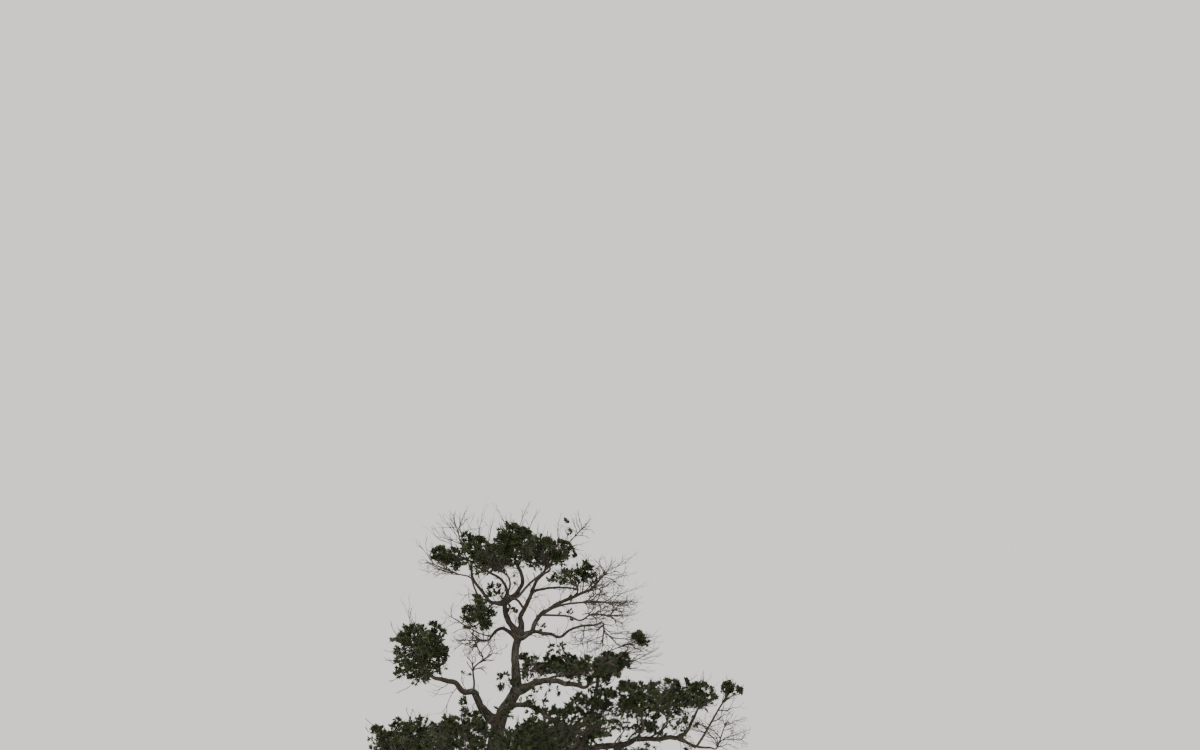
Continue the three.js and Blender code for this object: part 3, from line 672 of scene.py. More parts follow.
# What a key is made of: so much for each mass or parent, so much for each in order, and a first one
keySteps = {
    "main": (977, 31, 5), "run": (977, 31, 400000), "shoot": (100, 1, 700000), "twig": (131, 17, 3),
    "leaf": (61, 13, 11), "largest": 0x3FFFFFFF,
}

# Leaves end on a lumpy rim, and twigs leave gaps where a finer ripple is low
rim = {
    "waves": 10, "long": (0.45, 1.0), "short": (0.3, 0.55), "edge": 0.86, "swell": 0.24, "ragged": 0.2,
    "limits": (0.45, 1.2), "longKey": 5, "shortKey": 6, "gapKey": 11,
}

# The levels of twigs: what they grow on, where and how far apart, how long, how they lean, lift and bend
leafyLevels = {
    "side": {
        "on": "main", "spacing": 0.075, "first": 0.12, "last": 1.0, "most": 14, "length": (0.35, 0.62),
        "limits": (0.18, 0.6), "lean": (0.5, 1.15), "lift": 0.16, "out": 0.12, "bend": 0.14, "fit": 0.5,
        "crook": 0.05, "thickest": 0.009, "tip": 0.45, "rings": 5, "reach": 1.1, "gap": -0.6, "rimGap": 0.35,
    },
    "last": {
        "on": "side", "spacing": 0.03, "first": 0.35, "last": 1.0, "most": 11, "length": (0.25, 0.5),
        "limits": (0.08, 0.18), "lean": (0.5, 1.25), "lift": 0.2, "out": 0.1, "bend": 0.05, "fit": 0.6,
        "thickest": 0.005, "tip": 0.5, "rings": 2, "reach": "rim", "gap": -0.06, "rimGap": 0.36,
        "leafFrom": 0.3,
    },
    "whip": {
        "on": "main", "spacing": 0.4, "first": 0.6, "last": 1.0, "most": 1, "length": (0.6, 1.1),
        "limits": (0.4, 0.9), "lean": (0.1, 0.5), "lift": 0.8, "out": 0.5, "bend": 0.16, "fit": 1.5,
        "crook": 0.05, "thickest": 0.014, "tip": 0.5, "rings": 6, "reach": 1.9, "gap": -0.1,
    },
    "whipSide": {
        "on": "whip", "spacing": 0.16, "first": 0.35, "last": 0.9, "most": 3, "length": (0.3, 0.5),
        "limits": (0.1, 0.3), "lean": (0.4, 0.8), "lift": 0.3, "out": 0.1, "bend": 0.12, "fit": 0.7,
        "thickest": 0.008, "tip": 0.5, "rings": 3, "reach": 1.5, "gap": -2,
    },
}
bareLevels = {
    "side": {
        "on": "main", "spacing": 0.16, "first": 0.12, "last": 0.98, "most": 7, "length": (0.4, 0.9),
        "limits": (0.25, 0.95), "lean": (0.3, 0.9), "lift": 0.14, "out": 0.16, "bend": 0.2, "fit": 0.8,
        "crook": 0.07, "thickest": 0.017, "tip": 0.5, "rings": 9, "reach": 1.08, "gap": -2,
    },
    "second": {
        "on": "side", "spacing": 0.15, "first": 0.2, "last": 0.97, "most": 5, "length": (0.35, 0.75),
        "limits": (0.14, 0.55), "lean": (0.35, 0.95), "lift": 0.1, "out": 0.12, "bend": 0.18, "fit": 0.85,
        "crook": 0.08, "thickest": 0.014, "tip": 0.55, "rings": 6, "reach": 1.1, "gap": -1.5, "rimGap": 1.2,
    },
    "third": {
        "on": "second", "spacing": 0.16, "first": 0.3, "last": 0.95, "most": 2, "length": (0.35, 0.65),
        "limits": (0.1, 0.28), "lean": (0.35, 0.9), "lift": 0.05, "out": 0.1, "bend": 0.12, "fit": 0.8,
        "crook": 0.06, "thickest": 0.01, "tip": 0.6, "rings": 3, "reach": 1.12, "gap": -1.2, "rimGap": 1.3,
    },
}
fanLevels = {
    "side": {**bareLevels["side"], "limits": (0.2, 0.5), "most": 5},
    "second": {**bareLevels["second"], "limits": (0.12, 0.32), "most": 3, "gap": -0.6},
}
# the masses of upright whips above the crown, with few side twigs
whipMasses = ("twigs_crown_left", "twigs_crown_right", "twigs_upper_left", "twigs_left_inner")
whipLevels = {
    "side": {
        "on": "main", "spacing": 0.2, "first": 0.2, "last": 0.95, "most": 4, "length": (0.35, 0.75),
        "limits": (0.2, 0.8), "lean": (0.25, 0.7), "lift": 0.45, "out": 0.2, "bend": 0.14, "fit": 0.8,
        "crook": 0.05, "thickest": 0.014, "tip": 0.5, "rings": 7, "reach": 1.12, "gap": -2,
    },
    "second": {
        "on": "side", "spacing": 0.2, "first": 0.3, "last": 0.9, "most": 2, "length": (0.3, 0.5),
        "limits": (0.1, 0.3), "lean": (0.3, 0.8), "lift": 0.3, "out": 0.1, "bend": 0.1, "fit": 0.8,
        "crook": 0.05, "thickest": 0.01, "tip": 0.55, "rings": 4, "reach": 1.14, "gap": -0.3,
    },
}
boughLevels = {
    "side": {
        "on": "main", "spacing": 0.16, "first": 0.05, "last": 0.97, "most": 4, "length": (0.6, 1.4),
        "limits": (0.3, 0.85), "lean": (0.6, 1.2), "lift": 0.25, "out": 0.0, "bend": 0.2, "fit": 0.25,
        "crook": 0.07, "thickest": 0.013, "tip": 0.45, "rings": 8, "gap": -0.2,
    },
    "second": {
        "on": "side", "spacing": 0.12, "first": 0.2, "last": 0.98, "most": 6, "length": (0.35, 0.65),
        "limits": (0.12, 0.42), "lean": (0.4, 1.0), "lift": 0.12, "out": 0.0, "bend": 0.16, "fit": 0.75,
        "crook": 0.07, "thickest": 0.009, "tip": 0.5, "rings": 5, "gap": -2, "leafFrom": 0.6,
    },
    "third": {
        "on": "second", "spacing": 0.08, "first": 0.35, "last": 1.0, "most": 4, "length": (0.35, 0.6),
        "limits": (0.08, 0.2), "lean": (0.4, 1.1), "lift": 0.1, "out": 0.0, "bend": 0.08, "fit": 0.75,
        "thickest": 0.0065, "tip": 0.6, "rings": 2, "gap": -2, "leafFrom": 0.3,
    },
}

# Where a bough's own twigs carry tufts of leaves: more of them where the threshold is low. The ripple
# is never below "all" or above "none".
tufts = {
    "span": (0.5, 1.0), "key": 17, "above": 0.75, "all": -9, "none": 9, "risers": 0.35,
    "bough_right_arching": -0.3, "bough_right_low": 0.0, "bough_right_upright": -0.2,
    "bough_right_middle": 0.3, "bough_right_low_rise": 0.2, "bough_front": 0.0, "bough_left_low": 0.1,
}

# How much more open than the others a mass of leaves is
openness = {
    "foliage_crown_right": 0.45, "foliage_crown_left": 0.16, "foliage_crown_back_left": 0.32,
    "foliage_crown_inner_left": 0.16, "foliage_upper_left": 0.1, "foliage_low_front_right": 0.3,
    "foliage_right_middle_front": 0.12, "foliage_right_outer": 0.25, "foliage_right_upright": 0.12,
    "foliage_crown_top_right": 0.3, "foliage_crown_back": 0.12, "foliage_right_middle": 0.1,
    "foliage_middle": 0.1, "foliage_right_low_right": 0.1, "foliage_right_low_rise": 0.14,
}

# Single side shoots: the limb or stem that each leaves, at what share of the way, and where it ends
shootKinds = {
    "sprigs": {
        "levels": ("side", "last"), "rules": leafyLevels, "thick": 0.012, "crook": 0.05, "tufts": "all",
        "rows": (
            ("trunk", 0.675, (0.42, -0.3, 7.12)), ("trunk", 0.7, (0.45, -0.15, 6.95)),
            ("bough_crown_left", 0.2, (-0.12, -0.3, 9.87)), ("bough_upper_left", 0.9, (0.06, 0.1, 9.8)),
            ("bough_upper_left", 0.6, (0.56, -0.3, 9.1)), ("bough_crown_left", 0.98, (-0.72, -0.5, 11.2)),
            ("twigs_crown_right", 0.75, (2.22, 0.3, 11.75)), ("bough_left", 0.2, (-0.3, -0.45, 5.82)),
            ("bough_right_drooping", 0.55, (2.02, 0.2, 8.02)), ("bough_left", 0.3, (-0.62, -0.55, 5.8)),
            ("trunk", 0.52, (-0.35, -0.5, 5.7)), ("bough_left", 0.98, (-1.65, -0.5, 8.3)),
            ("bough_right_arching", 0.3, (1.56, -0.9, 6.2)),
            ("bough_right_arching", 0.45, (2.05, -1.2, 6.0)),
            ("bough_right_arching", 0.6, (2.5, -1.35, 6.15)),
            ("bough_right_upright", 0.45, (3.63, 0.2, 6.4)), ("bough_right_low", 0.75, (4.75, 0.4, 5.8)),
            ("bough_right_low", 0.8, (5.1, 0.5, 5.75)), ("bough_right_upper", 0.93, (2.7, -0.5, 10.2)),
            ("twigs_right_upper", 0.2, (2.95, -0.3, 10.1)), ("twigs_right_upper", 0.3, (2.85, -0.6, 10.35)),
            ("bough_crown_right", 0.9, (2.5, -0.7, 10.3)),
        ),
    },
    "whips": {
        "levels": ("side", "second"), "rules": whipLevels, "thick": 0.014, "crook": 0.06, "tufts": "none",
        "rows": (
            ("twigs_crown_left", 0.4, (-1.83, 0.0, 11.52)), ("twigs_crown_left", 0.55, (-1.6, 0.3, 11.95)),
            ("twigs_crown_left", 0.7, (-0.78, 0.2, 12.28)), ("foliage_crown_back", 0.85, (1.38, 0.9, 12.3)),
            ("foliage_crown_inner_left", 0.9, (-0.3, -0.9, 12.1)),
            ("foliage_left", 0.95, (-2.5, -0.6, 9.25)), ("foliage_crown_front", 0.8, (0.18, -1.1, 12.1)),
            ("twigs_far_left", 0.85, (-2.28, 0.0, 11.15)),
            ("foliage_crown_front", 0.9, (1.05, -1.2, 12.15)),
            ("twigs_crown_right", 0.8, (2.48, 0.3, 12.0)),
            ("foliage_crown_back_left", 0.9, (-0.05, 1.3, 12.05)), ("bough_left", 0.78, (-1.5, -0.7, 6.05)),
            ("foliage_crown_top_right", 0.85, (2.0, -0.3, 11.9)), ("bough_left", 0.9, (-1.75, -0.8, 6.55)),
            ("twigs_right_upper", 0.85, (4.15, -0.4, 10.7)),
            ("twigs_right_middle", 0.9, (4.45, 1.2, 10.05)), ("twigs_right_middle", 0.9, (4.4, 1.4, 9.45)),
            ("twigs_right_front", 0.9, (4.3, -1.5, 8.95)), ("foliage_right_middle", 0.6, (4.86, 0.2, 8.0)),
            ("foliage_right_middle", 0.75, (4.95, 0.3, 7.65)),
            ("foliage_right_middle", 0.9, (4.7, 0.1, 7.3)), ("foliage_right_outer", 0.7, (4.75, 0.3, 7.85)),
        ),
    },
    "fans": {
        "levels": ("side", "second"), "rules": fanLevels, "thick": 0.022, "crook": 0.1, "tufts": "none",
        "rows": (
            ("bough_right_upper", 0.9, (2.46, -0.4, 10.35)),
            ("bough_right_upper", 0.95, (2.9, -0.5, 10.55)),
            ("bough_right_upper", 0.97, (3.6, -0.6, 10.45)), ("bough_right_upper", 0.97, (3.9, -0.3, 10.2)),
            ("bough_right_upper", 0.85, (2.7, -0.3, 10.25)), ("bough_right_upper", 0.97, (3.3, -0.2, 10.2)),
            ("bough_right_drooping", 0.9, (2.7, 0.5, 8.1)), ("foliage_right_middle", 0.8, (4.6, 0.3, 7.85)),
            ("foliage_right_middle", 0.9, (4.6, 0.1, 8.1)), ("foliage_right_outer", 0.6, (4.5, 0.3, 7.95)),
            ("foliage_far_right", 0.55, (7.3, 0.4, 6.3)), ("foliage_far_right", 0.4, (7.05, 0.5, 6.1)),
        ),
    },
    "risers": {
        "levels": ("side", "second", "third"), "rules": boughLevels, "thick": 0.034, "crook": 0.11,
        "tufts": "risers",
        "rows": (
            ("bough_right_low", 0.42, (2.5, -0.35, 5.85)), ("bough_right_low", 0.47, (3.3, -0.5, 5.8)),
            ("bough_right_low", 0.55, (3.9, 0.1, 5.95)), ("bough_right_low", 0.62, (4.1, -0.7, 5.8)),
            ("bough_right_low", 0.68, (4.85, 0.2, 5.9)), ("bough_right_low", 0.8, (4.95, -0.1, 5.95)),
            ("bough_right_low", 0.9, (5.7, -0.3, 5.95)), ("bough_right_arching", 0.5, (2.55, -1.0, 6.15)),
            ("bough_right_arching", 0.75, (3.35, -1.1, 5.85)),
        ),
    },
}


def planStems():
    for name, mass in masses.items():
        parent, share = mass["from"]
        source = limbs[parent]
        centre, half = mass["centre"], mass["half"]
        stops = [np.array(stop) for stop in mass["bends"]]
        if share == 1:
            tip = pointOn(source["path"], 1)
            onward = growth["onward"] * np.linalg.norm(tip - centre)
            stops = [tip + directionOn(source["path"], 1) * onward]
        heading = unit((centre - stops[-1]) / half)
        end = centre + heading * half * growth["lead"]
        tipRadius = float(source["radius"](1)) * growth["fit"]
        stems[name] = {
            "path": np.array([pointOn(source["path"], min(share, growth["latest"])), *stops, centre, end]),
            "radius": taper(mass["radius"] or (tipRadius, tipRadius * growth["stemTaper"])),
            "heading": heading,
        }


def planBalls():
    points, radii, owners = [], [], []
    for name, limb in {**limbs, **stems}.items():
        count = int(lengthOf(limb["path"], growth["ballParts"]) / growth["ballStep"]) + 2
        shares = np.linspace(0, 1, count)
        points.append(pointsAt(limb["path"], shares))
        radii.append(limb["radius"](shares))
        owners += [name] * count
    balls["points"] = np.concatenate(points)
    balls["radii"] = np.concatenate(radii)
    balls["owners"] = np.array(owners)


def ballsNear(place, reach, without=None):
    # the places and sizes of the balls this near, but not those of one mass's stem
    near = np.linalg.norm(balls["points"] - place, axis=1) < reach
    if without:
        near &= balls["owners"] != without
    return balls["points"][near], balls["radii"][near]


def keyOf(kind, parent, order):
    ahead, aside, first = keySteps[kind]
    return (parent * ahead + order * aside + first) & keySteps["largest"]


def outwardAt(height, angle):
    # the direction that rises this much, at this angle round
    wide = math.sqrt(max(0, 1 - height * height))
    return np.array((wide * math.cos(angle), wide * math.sin(angle), height))


def ripple(points, key, span):
    # smooth waves through space, nearly always within -1 to 1
    total = np.zeros(points.shape[:-1])
    for k in range(rim["waves"]):
        height = 2 * chance(key, k, 1) - 1
        angle = 2 * math.pi * chance(key, k, 2)
        phase = points @ outwardAt(height, angle) / between(span, chance(key, k, 3)) + chance(key, k, 4)
        total += np.sin(2 * math.pi * phase)
    return total / math.sqrt(2 * rim["waves"])


def roomFor(points, seed, reach, obstacles, margin):
    # for points (n, k, 3): whether all k lie in the mass's own space, or outside every mass,
    # and are clear of limbs and near enough to the tree's box
    flat = points.reshape(-1, 3)
    depths = np.linalg.norm((flat[:, None] - massCentres) / massHalves, axis=2)
    nearest = depths.min(axis=1)
    if seed == "anywhere":
        good = np.ones(len(flat), bool)
    elif seed == "outside":
        good = nearest > growth["outside"]
    else:
        if reach == "rim":
            reach = rim["edge"] + rim["swell"] * ripple(flat, rim["longKey"], rim["long"])
            reach = reach + rim["ragged"] * ripple(flat, rim["shortKey"], rim["short"])
            reach = np.clip(reach, *rim["limits"])
        own = depths[:, seed]
        good = (own <= reach) & (own <= nearest + growth["tie"])
    places, radii = obstacles
    if len(places):
        gaps = np.linalg.norm(flat[:, None] - places, axis=2) - radii
        good &= gaps.min(axis=1) > margin
    beyond = np.maximum(cadBox[0] - flat, flat - cadBox[1])
    good &= beyond.max(axis=1) < growth["beyondBox"]
    return good.reshape(points.shape[:2]).all(axis=1)


def leavingShare(path, end):
    shares = np.arange(growth["lowest"], 1, growth["search"])
    gaps = np.linalg.norm(pointsAt(path, shares) - end, axis=1)
    nearest = shares[gaps.argmin()]
    if np.linalg.norm(pointOn(path, 1) - end) <= gaps.min():
        nearest = 1
    return max(growth["lowest"], min(nearest - growth["sweep"], growth["latestShoot"]))


def crookedPaths(starts, ends, bow, crook, keys):
    # from each start to its end, bowed by a share of the length and crooked at each inner knot
    along = ends - starts
    size = np.linalg.norm(along, axis=1, keepdims=True)
    forward = along / size
    knots = []
    for k, share in enumerate(growth["knotShares"]):
        aside = turned(squareTo(forward), forward, 2 * math.pi * chance(keys, 21, k)) * crook
        knots.append(starts + along * share + (bow + aside) * size * 4 * share * (1 - share))
    return np.stack(knots, axis=1)


def mainTwigs(paths, thicks, keys):
    thick = np.array(thicks)
    return {
        "paths": np.array(paths), "thick": thick, "thin": thick * growth["mainTip"],
        "key": np.array(keys, dtype=np.int64), "leafFrom": None,
        "rings": growth["mainRings"], "sides": growth["mainSides"],
    }


def mainShoot(mass, outward, reach, stem, key):
    end = mass["centre"] + outward * mass["half"] * reach
    share = leavingShare(stem["path"], end)
    start = pointOn(stem["path"], share)
    bow = directionOn(stem["path"], share) * growth["bow"]
    thickest, crook = growth["thickest"], growth["crook"]
    if mass["bare"]:
        thickest, crook = growth["thickestBare"], growth["crookBare"]
    thick = min(thickest, float(stem["radius"](share)) * growth["inner"])
    return crookedPaths(start[None], end[None], bow, crook, np.array([key]))[0], thick


def growMains(mass, seed, stem, obstacles):
    # the part's own shoots first, then more of them, which end between those
    paths, thicks, keys = [], [], []
    shoots = mass["shoots"]
    more = round(shoots * growth["moreBare" if mass["bare"] else "moreLeafy"])
    for i in range(shoots + more):
        for turn in range(growth["turns"]):
            if i < shoots:
                height = growth["highest"] * (1 - 2 * (i - 1) / (shoots - 2))
                angle = goldenAngle * i + 2 * math.pi * chance(seed, 1) + growth["turn"] * turn
                reach = between(growth["reach"], chance(seed, 2, i)) - growth["shorter"] * turn
            else:
                height = growth["highest"] * (1 - 2 * (i - shoots + 0.5) / more)
                angle = goldenAngle * (i + 0.5) + 2 * math.pi * chance(seed, 6) + growth["turn"] * turn
                reach = between(growth["moreReach"], chance(seed, 7, i)) - growth["shorter"] * turn
            outward = outwardAt(height, angle) if i else stem["heading"]
            key = keyOf("main", seed, i)
            path, thick = mainShoot(mass, outward, reach, stem, key)
            tested = pointsAt(path, growth["tested"])[None]
            if roomFor(tested, seed, growth["overstep"], obstacles, growth["clearance"])[0]:
                paths.append(path)
                thicks.append(thick)
                keys.append(key)
                break
    return mainTwigs(paths, thicks, keys)


def growSides(parents, rule, heart, seed, obstacles):
    # the places, keys and thickness of a level of twigs first, then tries at where each ends
    lengths = lengthOf(parents["paths"])
    room = lengths * (rule["last"] - rule["first"]) / rule["spacing"]
    counts = np.clip(np.rint(room), 1, rule["most"]).astype(int)
    which = np.repeat(np.arange(len(counts)), counts)
    order = np.concatenate([np.arange(count) for count in counts])
    keys = keyOf("twig", parents["key"][which], order)
    share = between((rule["first"], rule["last"]), (order + chance(keys, 1)) / counts[which])
    paths = parents["paths"][which]
    starts = eachAt(paths, share)
    ahead, behind = np.minimum(share + growth["step"], 1), share - growth["step"]
    forward = unit(eachAt(paths, ahead) - eachAt(paths, behind))
    outOfHeart = unit(starts - heart)
    thinner = parents["thick"][which] + (parents["thin"] - parents["thick"])[which] * share
    thick = np.minimum(rule["thickest"], thinner * rule["fit"])
    base = between(rule["length"], chance(keys, 2)) * lengths[which]
    base = np.clip(base * (growth["longest"] - growth["shorterOut"] * share), *rule["limits"])
    depth = 0
    if isinstance(seed, int):
        depth = np.linalg.norm((starts - massCentres[seed]) / massHalves[seed], axis=1)
    openHere = rule["gap"] + rule.get("rimGap", 0) * depth**2
    done = ripple(starts, rim["gapKey"], rim["short"]) < openHere
    skipped = done.copy()
    grown = np.zeros((len(which), len(growth["knotShares"]), 3))
    for turn in range(growth["turns"]):
        left = np.flatnonzero(~done)
        if not len(left):
            break
        lean = between(rule["lean"], chance(keys[left], 3, turn))
        around = goldenAngle * (order[left] + turn) + 2 * math.pi * chance(parents["key"][which[left]], 4)
        outward = turned(squareTo(forward[left]), forward[left], around)
        heading = forward[left] * np.cos(lean)[:, None] + outward * np.sin(lean)[:, None]
        heading[:, 2] += rule["lift"]
        heading = unit(heading + outOfHeart[left] * rule["out"])
        length = (base[left] * (1 - growth["shorterTurn"] * turn))[:, None]
        ends = starts[left] + heading * length
        aside = turned(outward, forward[left], 2 * math.pi * chance(keys[left], 5))
        bow = (forward[left] + aside / 2) * rule["bend"]
        tried = crookedPaths(starts[left], ends, bow, rule.get("crook", 0), keys[left])
        tested = pointsAt(tried, growth["tested"])
        good = roomFor(tested, seed, rule.get("reach"), obstacles, growth["clearance"])
        grown[left[good]] = tried[good]
        done[left[good]] = True
    done &= ~skipped
    return {
        "paths": grown[done], "thick": thick[done], "thin": thick[done] * rule["tip"], "key": keys[done],
        "leafFrom": rule.get("leafFrom"), "rings": rule["rings"], "sides": growth["twigSides"],
    }


def growLevels(rules, mains, heart, seed, obstacles):
    grown = {"main": mains}
    for name, rule in rules.items():
        grown[name] = grown[rule["on"]]
        if len(grown[name]["key"]):
            grown[name] = growSides(grown[name], rule, heart, seed, obstacles)
    return grown


def runsOf(limb, seed):
    # a bough cut into short runs, each a path of three knots, for twigs to grow on
    count = max(1, round(float(lengthOf(limb["path"], growth["runParts"])) / growth["run"]))
    shares = np.linspace(0, 1, 2 * count + 1)
    points = pointsAt(limb["path"], shares)
    paths = np.stack([points[0:-1:2], points[1::2], points[2::2]], axis=1)
    radii = limb["radius"](shares[1::2])
    fine = radii < growth["thickestRun"]
    keys = keyOf("run", seed, np.arange(count, dtype=np.int64))
    return {"paths": paths[fine], "thick": radii[fine], "thin": radii[fine], "key": keys[fine]}


# Leaves: oblong blades, folded on the midrib, set in a spiral along each spray

leaf = {
    "each": 9, "length": 0.1, "vary": 0.22, "width": 0.42, "lean": (1.25, 0.35), "leanLeast": 0.8,
    "leanMore": 0.4, "lift": 0.18, "roll": 1.4, "fold": 0.1, "droop": 0.09, "step": 0.05, "margin": 0.004,
    "reach": 1.2, "nudge": 1e-6, "shares": (0.38, 0.7, 0.9),
    "gloss": 0.35, "roughness": (0.38, 0.66), "mottleSize": 55.0,
    "rib": 0.35, "ribPale": 0.12, "ribSize": 0.12,
    "tints": (
        (0.040, 0.057, 0.020), (0.052, 0.070, 0.024), (0.032, 0.048, 0.020), (0.070, 0.084, 0.030),
    ),
}

# one leaf's corners: across by its half width, along and up by its length, and how near the midrib
leafCorners = np.array((
    (0.0, 0.0, 0.0, 1.0), (-0.95, 0.32, 1.0, 0.0), (-0.82, 0.72, 0.85, 0.0), (0.0, 1.0, -1.0, 1.0),
    (0.82, 0.72, 0.85, 0.0), (0.95, 0.32, 1.0, 0.0),
))
leafFaces = np.array(((0, 3, 2), (0, 2, 1), (0, 5, 4), (0, 4, 3)))

twigBark = {
    "dark": (0.034, 0.027, 0.021), "pale": (0.1, 0.08, 0.062), "size": 30.0, "detail": 5, "roughness": 0.8,
}


def growLeaves(sprays, seed, obstacles):
    count = len(sprays["key"])
    each = leaf["each"]
    which = np.repeat(np.arange(count), each)
    order = np.tile(np.arange(each), count)
    keys = keyOf("leaf", sprays["key"][which], order)
    paths = sprays["paths"][which]
    place = between((sprays["leafFrom"], 1.0), order / (each - 1))
    roots = eachAt(paths, place)
    forward = unit(roots - eachAt(paths, place - leaf["step"]))
    around = goldenAngle * order + 2 * math.pi * chance(sprays["key"][which], 8)
    outward = turned(squareTo(forward), forward, around)
    lean = between(leaf["lean"], place) * (leaf["leanLeast"] + leaf["leanMore"] * chance(keys, 1))
    along = forward * np.cos(lean)[:, None] + outward * np.sin(lean)[:, None]
    along[:, 2] += leaf["lift"]
    along = unit(along)
    side = unit(np.cross(along, forward) + leaf["nudge"])
    side = turned(side, along, leaf["roll"] * (chance(keys, 2) - 0.5))
    up = np.cross(side, along)
    length = leaf["length"] * (1 + leaf["vary"] * (2 * chance(keys, 3) - 1))
    tips = roots + along * length[:, None]
    tested = np.stack([(roots + tips) / 2, tips], axis=1)
    good = roomFor(tested, seed, leaf["reach"], obstacles, leaf["margin"])
    corners = leafCorners
    rise = np.where(corners[:, 2] < 0, leaf["droop"], leaf["fold"] * leaf["width"])
    points = (
        roots[good, None]
        + side[good, None] * (corners[:, 0:1] * leaf["width"] / 2) * length[good, None, None]
        + along[good, None] * corners[:, 1:2] * length[good, None, None]
        + up[good, None] * (corners[:, 2] * rise)[:, None] * length[good, None, None]
    )
    tint = np.searchsorted(leaf["shares"], chance(sprays["key"][which], 9))[good]
    return points, tint


def leafMaterial(number, tint):
    material, shader = newMaterial(f"leafGreen{number}")
    ribLine = fed(material, "ShaderNodeMapRange", {
        "Value": attributeOf(material, "rib", "Fac"), "From Min": 1 - leaf["ribSize"],
    })
    paler = [value + leaf["rib"] * (leaf["ribPale"] - value) for value in tint]
    mottle = fed(material, "ShaderNodeTexNoise", {
        "Vector": objectPlace(material), "Scale": leaf["mottleSize"],
    })
    sheen = fed(material, "ShaderNodeMapRange", {
        "Value": mottle.outputs["Fac"], "To Min": leaf["roughness"][0], "To Max": leaf["roughness"][1],
    })
    feed(material, shader, "Base Color", mixed(material, ribLine.outputs["Result"], tint, paler))
    feed(material, shader, "Roughness", sheen.outputs["Result"])
    feed(material, shader, "Specular IOR Level", leaf["gloss"])
    return material


def twigMaterial():
    material, shader = newMaterial("twigBark")
    mottle = fed(material, "ShaderNodeTexNoise", {
        "Vector": objectPlace(material), "Scale": twigBark["size"], "Detail": twigBark["detail"],
    })
    colour = mixed(material, mottle.outputs["Fac"], twigBark["dark"], twigBark["pale"])
    feed(material, shader, "Base Color", colour)
    feed(material, shader, "Roughness", twigBark["roughness"])
    return material


# Joined meshes of many twigs or leaves

def tubes(paths, thick, thin, rings, sides):
    # pointed twigs: their points and triangles
    shares = np.linspace(0, 1, rings)
    centres = pointsAt(paths, shares)
    side, across = sectionsAlong(centres)
    radii = thick[:, None] + (thin - thick)[:, None] * shares
    angles = 2 * math.pi * np.arange(sides) / sides
    out = side[:, :-1, None] * np.cos(angles)[:, None] + across[:, :-1, None] * np.sin(angles)[:, None]
    walls = centres[:, :-1, None] + out * radii[:, :-1, None, None]
    points = np.concatenate([walls.reshape(len(paths), -1, 3), centres[:, -1:]], axis=1)
    tip = (rings - 1) * sides
    faces = []
    for k in range(rings - 2):
        for j in range(sides):
            a, b = k * sides + j, k * sides + (j + 1) % sides
            faces += [(a, a + sides, b + sides), (a, b + sides, b)]
    for j in range(sides):
        faces.append((tip - sides + j, tip, tip - sides + (j + 1) % sides))
    faces += [(0, j, j + 1) for j in range(1, sides - 1)]
    return points, np.array(faces)


def joinedMesh(name, parts, smooth):
    # each part: its shapes' points (n, k, 3), faces (f, 3) and material index (n,), and k rib values
    points, faces, tints, ribs = [], [], [], []
    base = 0
    for shapes, pattern, tint, rib in parts:
        count, size = shapes.shape[:2]
        points.append(shapes.reshape(-1, 3))
        faces.append((pattern[None] + (base + size * np.arange(count))[:, None, None]).reshape(-1, 3))
        tints.append(np.repeat(tint, len(pattern)))
        ribs.append(np.tile(rib, count))
        base += size * count
    points, faces = np.concatenate(points), np.concatenate(faces)
    mesh = bpy.data.meshes.new(name)
    mesh.vertices.add(len(points))
    mesh.vertices.foreach_set("co", points.astype(np.float32).ravel())
    mesh.loops.add(faces.size)
    mesh.loops.foreach_set("vertex_index", faces.astype(np.int32).ravel())
    mesh.polygons.add(len(faces))
    mesh.polygons.foreach_set("loop_start", np.arange(0, faces.size, 3, dtype=np.int32))
    mesh.polygons.foreach_set("material_index", np.concatenate(tints).astype(np.int32))
    mesh.update()
    mesh.polygons.foreach_set("use_smooth", np.full(len(faces), smooth))
    rib = mesh.attributes.new("rib", "FLOAT", "POINT")
    rib.data.foreach_set("value", np.concatenate(ribs).astype(np.float32))
    mesh.validate()
    piece = bpy.data.objects.new(name, mesh)
    bpy.context.scene.collection.objects.link(piece)
    return piece


# Twigs and leaves are joined by the region of the crown that they are in

regionEdges = {"crown": 8.7, "crownMiddle": 0.6, "right": 2.5, "rightUpper": 6, "left": 0, "leftAbove": 7}


def regionOf(place):
    x, y, z = place
    if z > regionEdges["crown"]:
        return "crown_left" if x < regionEdges["crownMiddle"] else "crown_right"
    if x > regionEdges["right"]:
        return "right_upper" if z > regionEdges["rightUpper"] else "right_lower"
    if x < regionEdges["left"] or z > regionEdges["leftAbove"]:
        return "left"
    return "middle"


def addTubes(region, level):
    sizes = level["thick"], level["thin"], level["rings"], level["sides"]
    shapes, faces = tubes(level["paths"], *sizes)
    region["twigs"].append((shapes, faces, np.zeros(len(shapes), int), np.zeros(shapes.shape[1])))


def addToRegion(region, levels, seed, obstacles):
    # the tubes and leaves of some levels of twigs, kept until the region's pieces are joined
    for level in levels:
        if len(level["key"]):
            addTubes(region, level)
            if level["leafFrom"]:
                shapes, tint = growLeaves(level, seed, obstacles)
                region["leaves"].append((shapes, leafFaces, tint, leafCorners[:, 3]))


def addTufted(region, levels, above, seed, obstacles):
    # twigs whose finer levels carry leaves only where the ripple is above this
    for level in levels:
        if level["leafFrom"] and len(level["key"]):
            green = ripple(level["paths"][:, 0], tufts["key"], tufts["span"]) > above
            bare = {**level, "leafFrom": None}
            for key in ("paths", "thick", "thin", "key"):
                bare[key], level[key] = level[key][~green], level[key][green]
            addToRegion(region, [bare], seed, obstacles)
        addToRegion(region, [level], seed, obstacles)


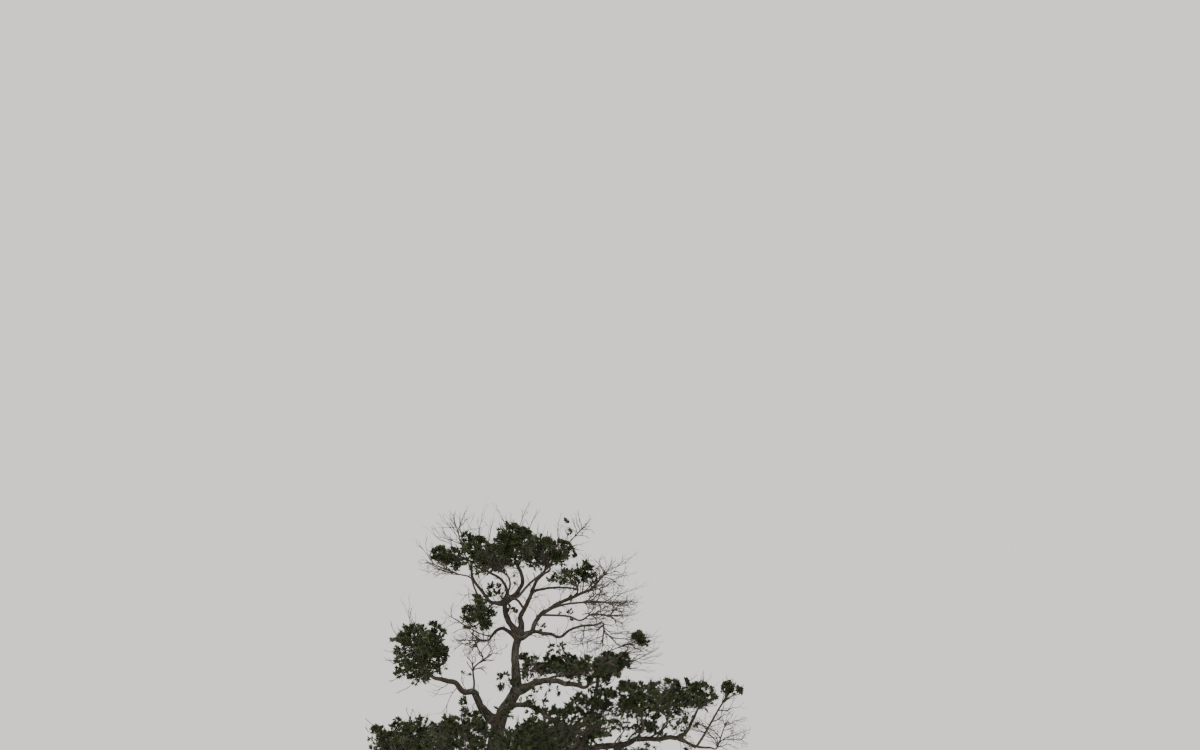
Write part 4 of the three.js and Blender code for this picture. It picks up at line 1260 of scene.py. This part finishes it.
def rulesFor(name):
    if name in whipMasses:
        return whipLevels
    if masses[name]["bare"]:
        return bareLevels
    last = leafyLevels["last"]
    return {**leafyLevels, "last": {**last, "gap": last["gap"] + openness.get(name, 0)}}


def growMasses(regions):
    for seed, (name, mass) in enumerate(masses.items()):
        region = regions.setdefault(regionOf(mass["centre"]), {"names": [], "twigs": [], "leaves": []})
        region["names"].append(name)
        stem = stems[name]
        obstacles = ballsNear(mass["centre"], max(mass["half"]) * growth["nearMass"] + balls["radii"], name)
        mains = growMains(mass, seed, stem, obstacles)
        grown = growLevels(rulesFor(name), mains, mass["centre"], seed, obstacles)
        thick, thin = (np.array([float(stem["radius"](share))]) for share in (0, 1))
        addTubes(region, {
            "paths": stem["path"][None], "thick": thick, "thin": thin,
            "rings": growth["stemRings"], "sides": growth["stemSides"],
        })
        obstacles = ballsNear(mass["centre"], max(mass["half"]) * growth["nearMass"] + balls["radii"])
        addToRegion(region, grown.values(), seed, obstacles)


def growOnBoughs(regions):
    # twigs, and a few tufts of leaves, along the boughs between the masses
    for seed, (name, limb) in enumerate(limbs.items()):
        heart = limb["path"].mean(axis=0)
        runs = runsOf(limb, seed)
        if not len(runs["key"]):
            continue
        obstacles = ballsNear(heart, growth["nearBough"])
        grown = growLevels(boughLevels, runs, heart, "outside", obstacles)
        del grown["main"]
        above = tufts.get(name, tufts["above"])
        addTufted(regions[regionOf(heart)], grown.values(), above, "outside", obstacles)


def growShoots(regions):
    everyLimb = {**limbs, **stems}
    for kind, shoots in enumerate(shootKinds.values()):
        rules = {level: shoots["rules"][level] for level in shoots["levels"]}
        for i, (name, share, tip) in enumerate(shoots["rows"]):
            start, tip = pointOn(everyLimb[name]["path"], share), np.array(tip)
            keys = np.array([keyOf("shoot", kind, i)], dtype=np.int64)
            bow = squareTo(unit(tip - start)) * growth["bow"]
            paths = crookedPaths(start[None], tip[None], bow, shoots["crook"], keys)
            obstacles = ballsNear(tip, growth["nearShoot"])
            main = mainTwigs(paths, [shoots["thick"]], keys)
            grown = growLevels(rules, main, start, "anywhere", obstacles)
            above = tufts[shoots["tufts"]]
            addTufted(regions[regionOf(tip)], grown.values(), above, "anywhere", obstacles)


def addMasses():
    regions = {}
    growMasses(regions)
    growOnBoughs(regions)
    growShoots(regions)
    twigPaint = twigMaterial()
    leafPaints = [leafMaterial(i + 1, tint) for i, tint in enumerate(leaf["tints"])]
    for name, region in regions.items():
        twigs = joinedMesh(f"twigs_of_{name}", region["twigs"], True)
        twigs.data.materials.append(twigPaint)
        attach(twigs, body)
        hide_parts(*region["names"])
        print("twigs", name, len(twigs.data.polygons))
        leaves = joinedMesh(f"leaves_of_{name}", region["leaves"], False)
        for paint in leafPaints:
            leaves.data.materials.append(paint)
        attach(leaves, body)
        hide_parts(*[mass for mass in region["names"] if not masses[mass].get("bare")])
        print("leaves", name, len(leaves.data.polygons))


addCamera()
addStudio()
print("stage: camera, floor and light")
planLimbs()
planStems()
planBalls()
addLimbs()
print("stage: limbs")
addMasses()
print("stage: twigs and leaves")
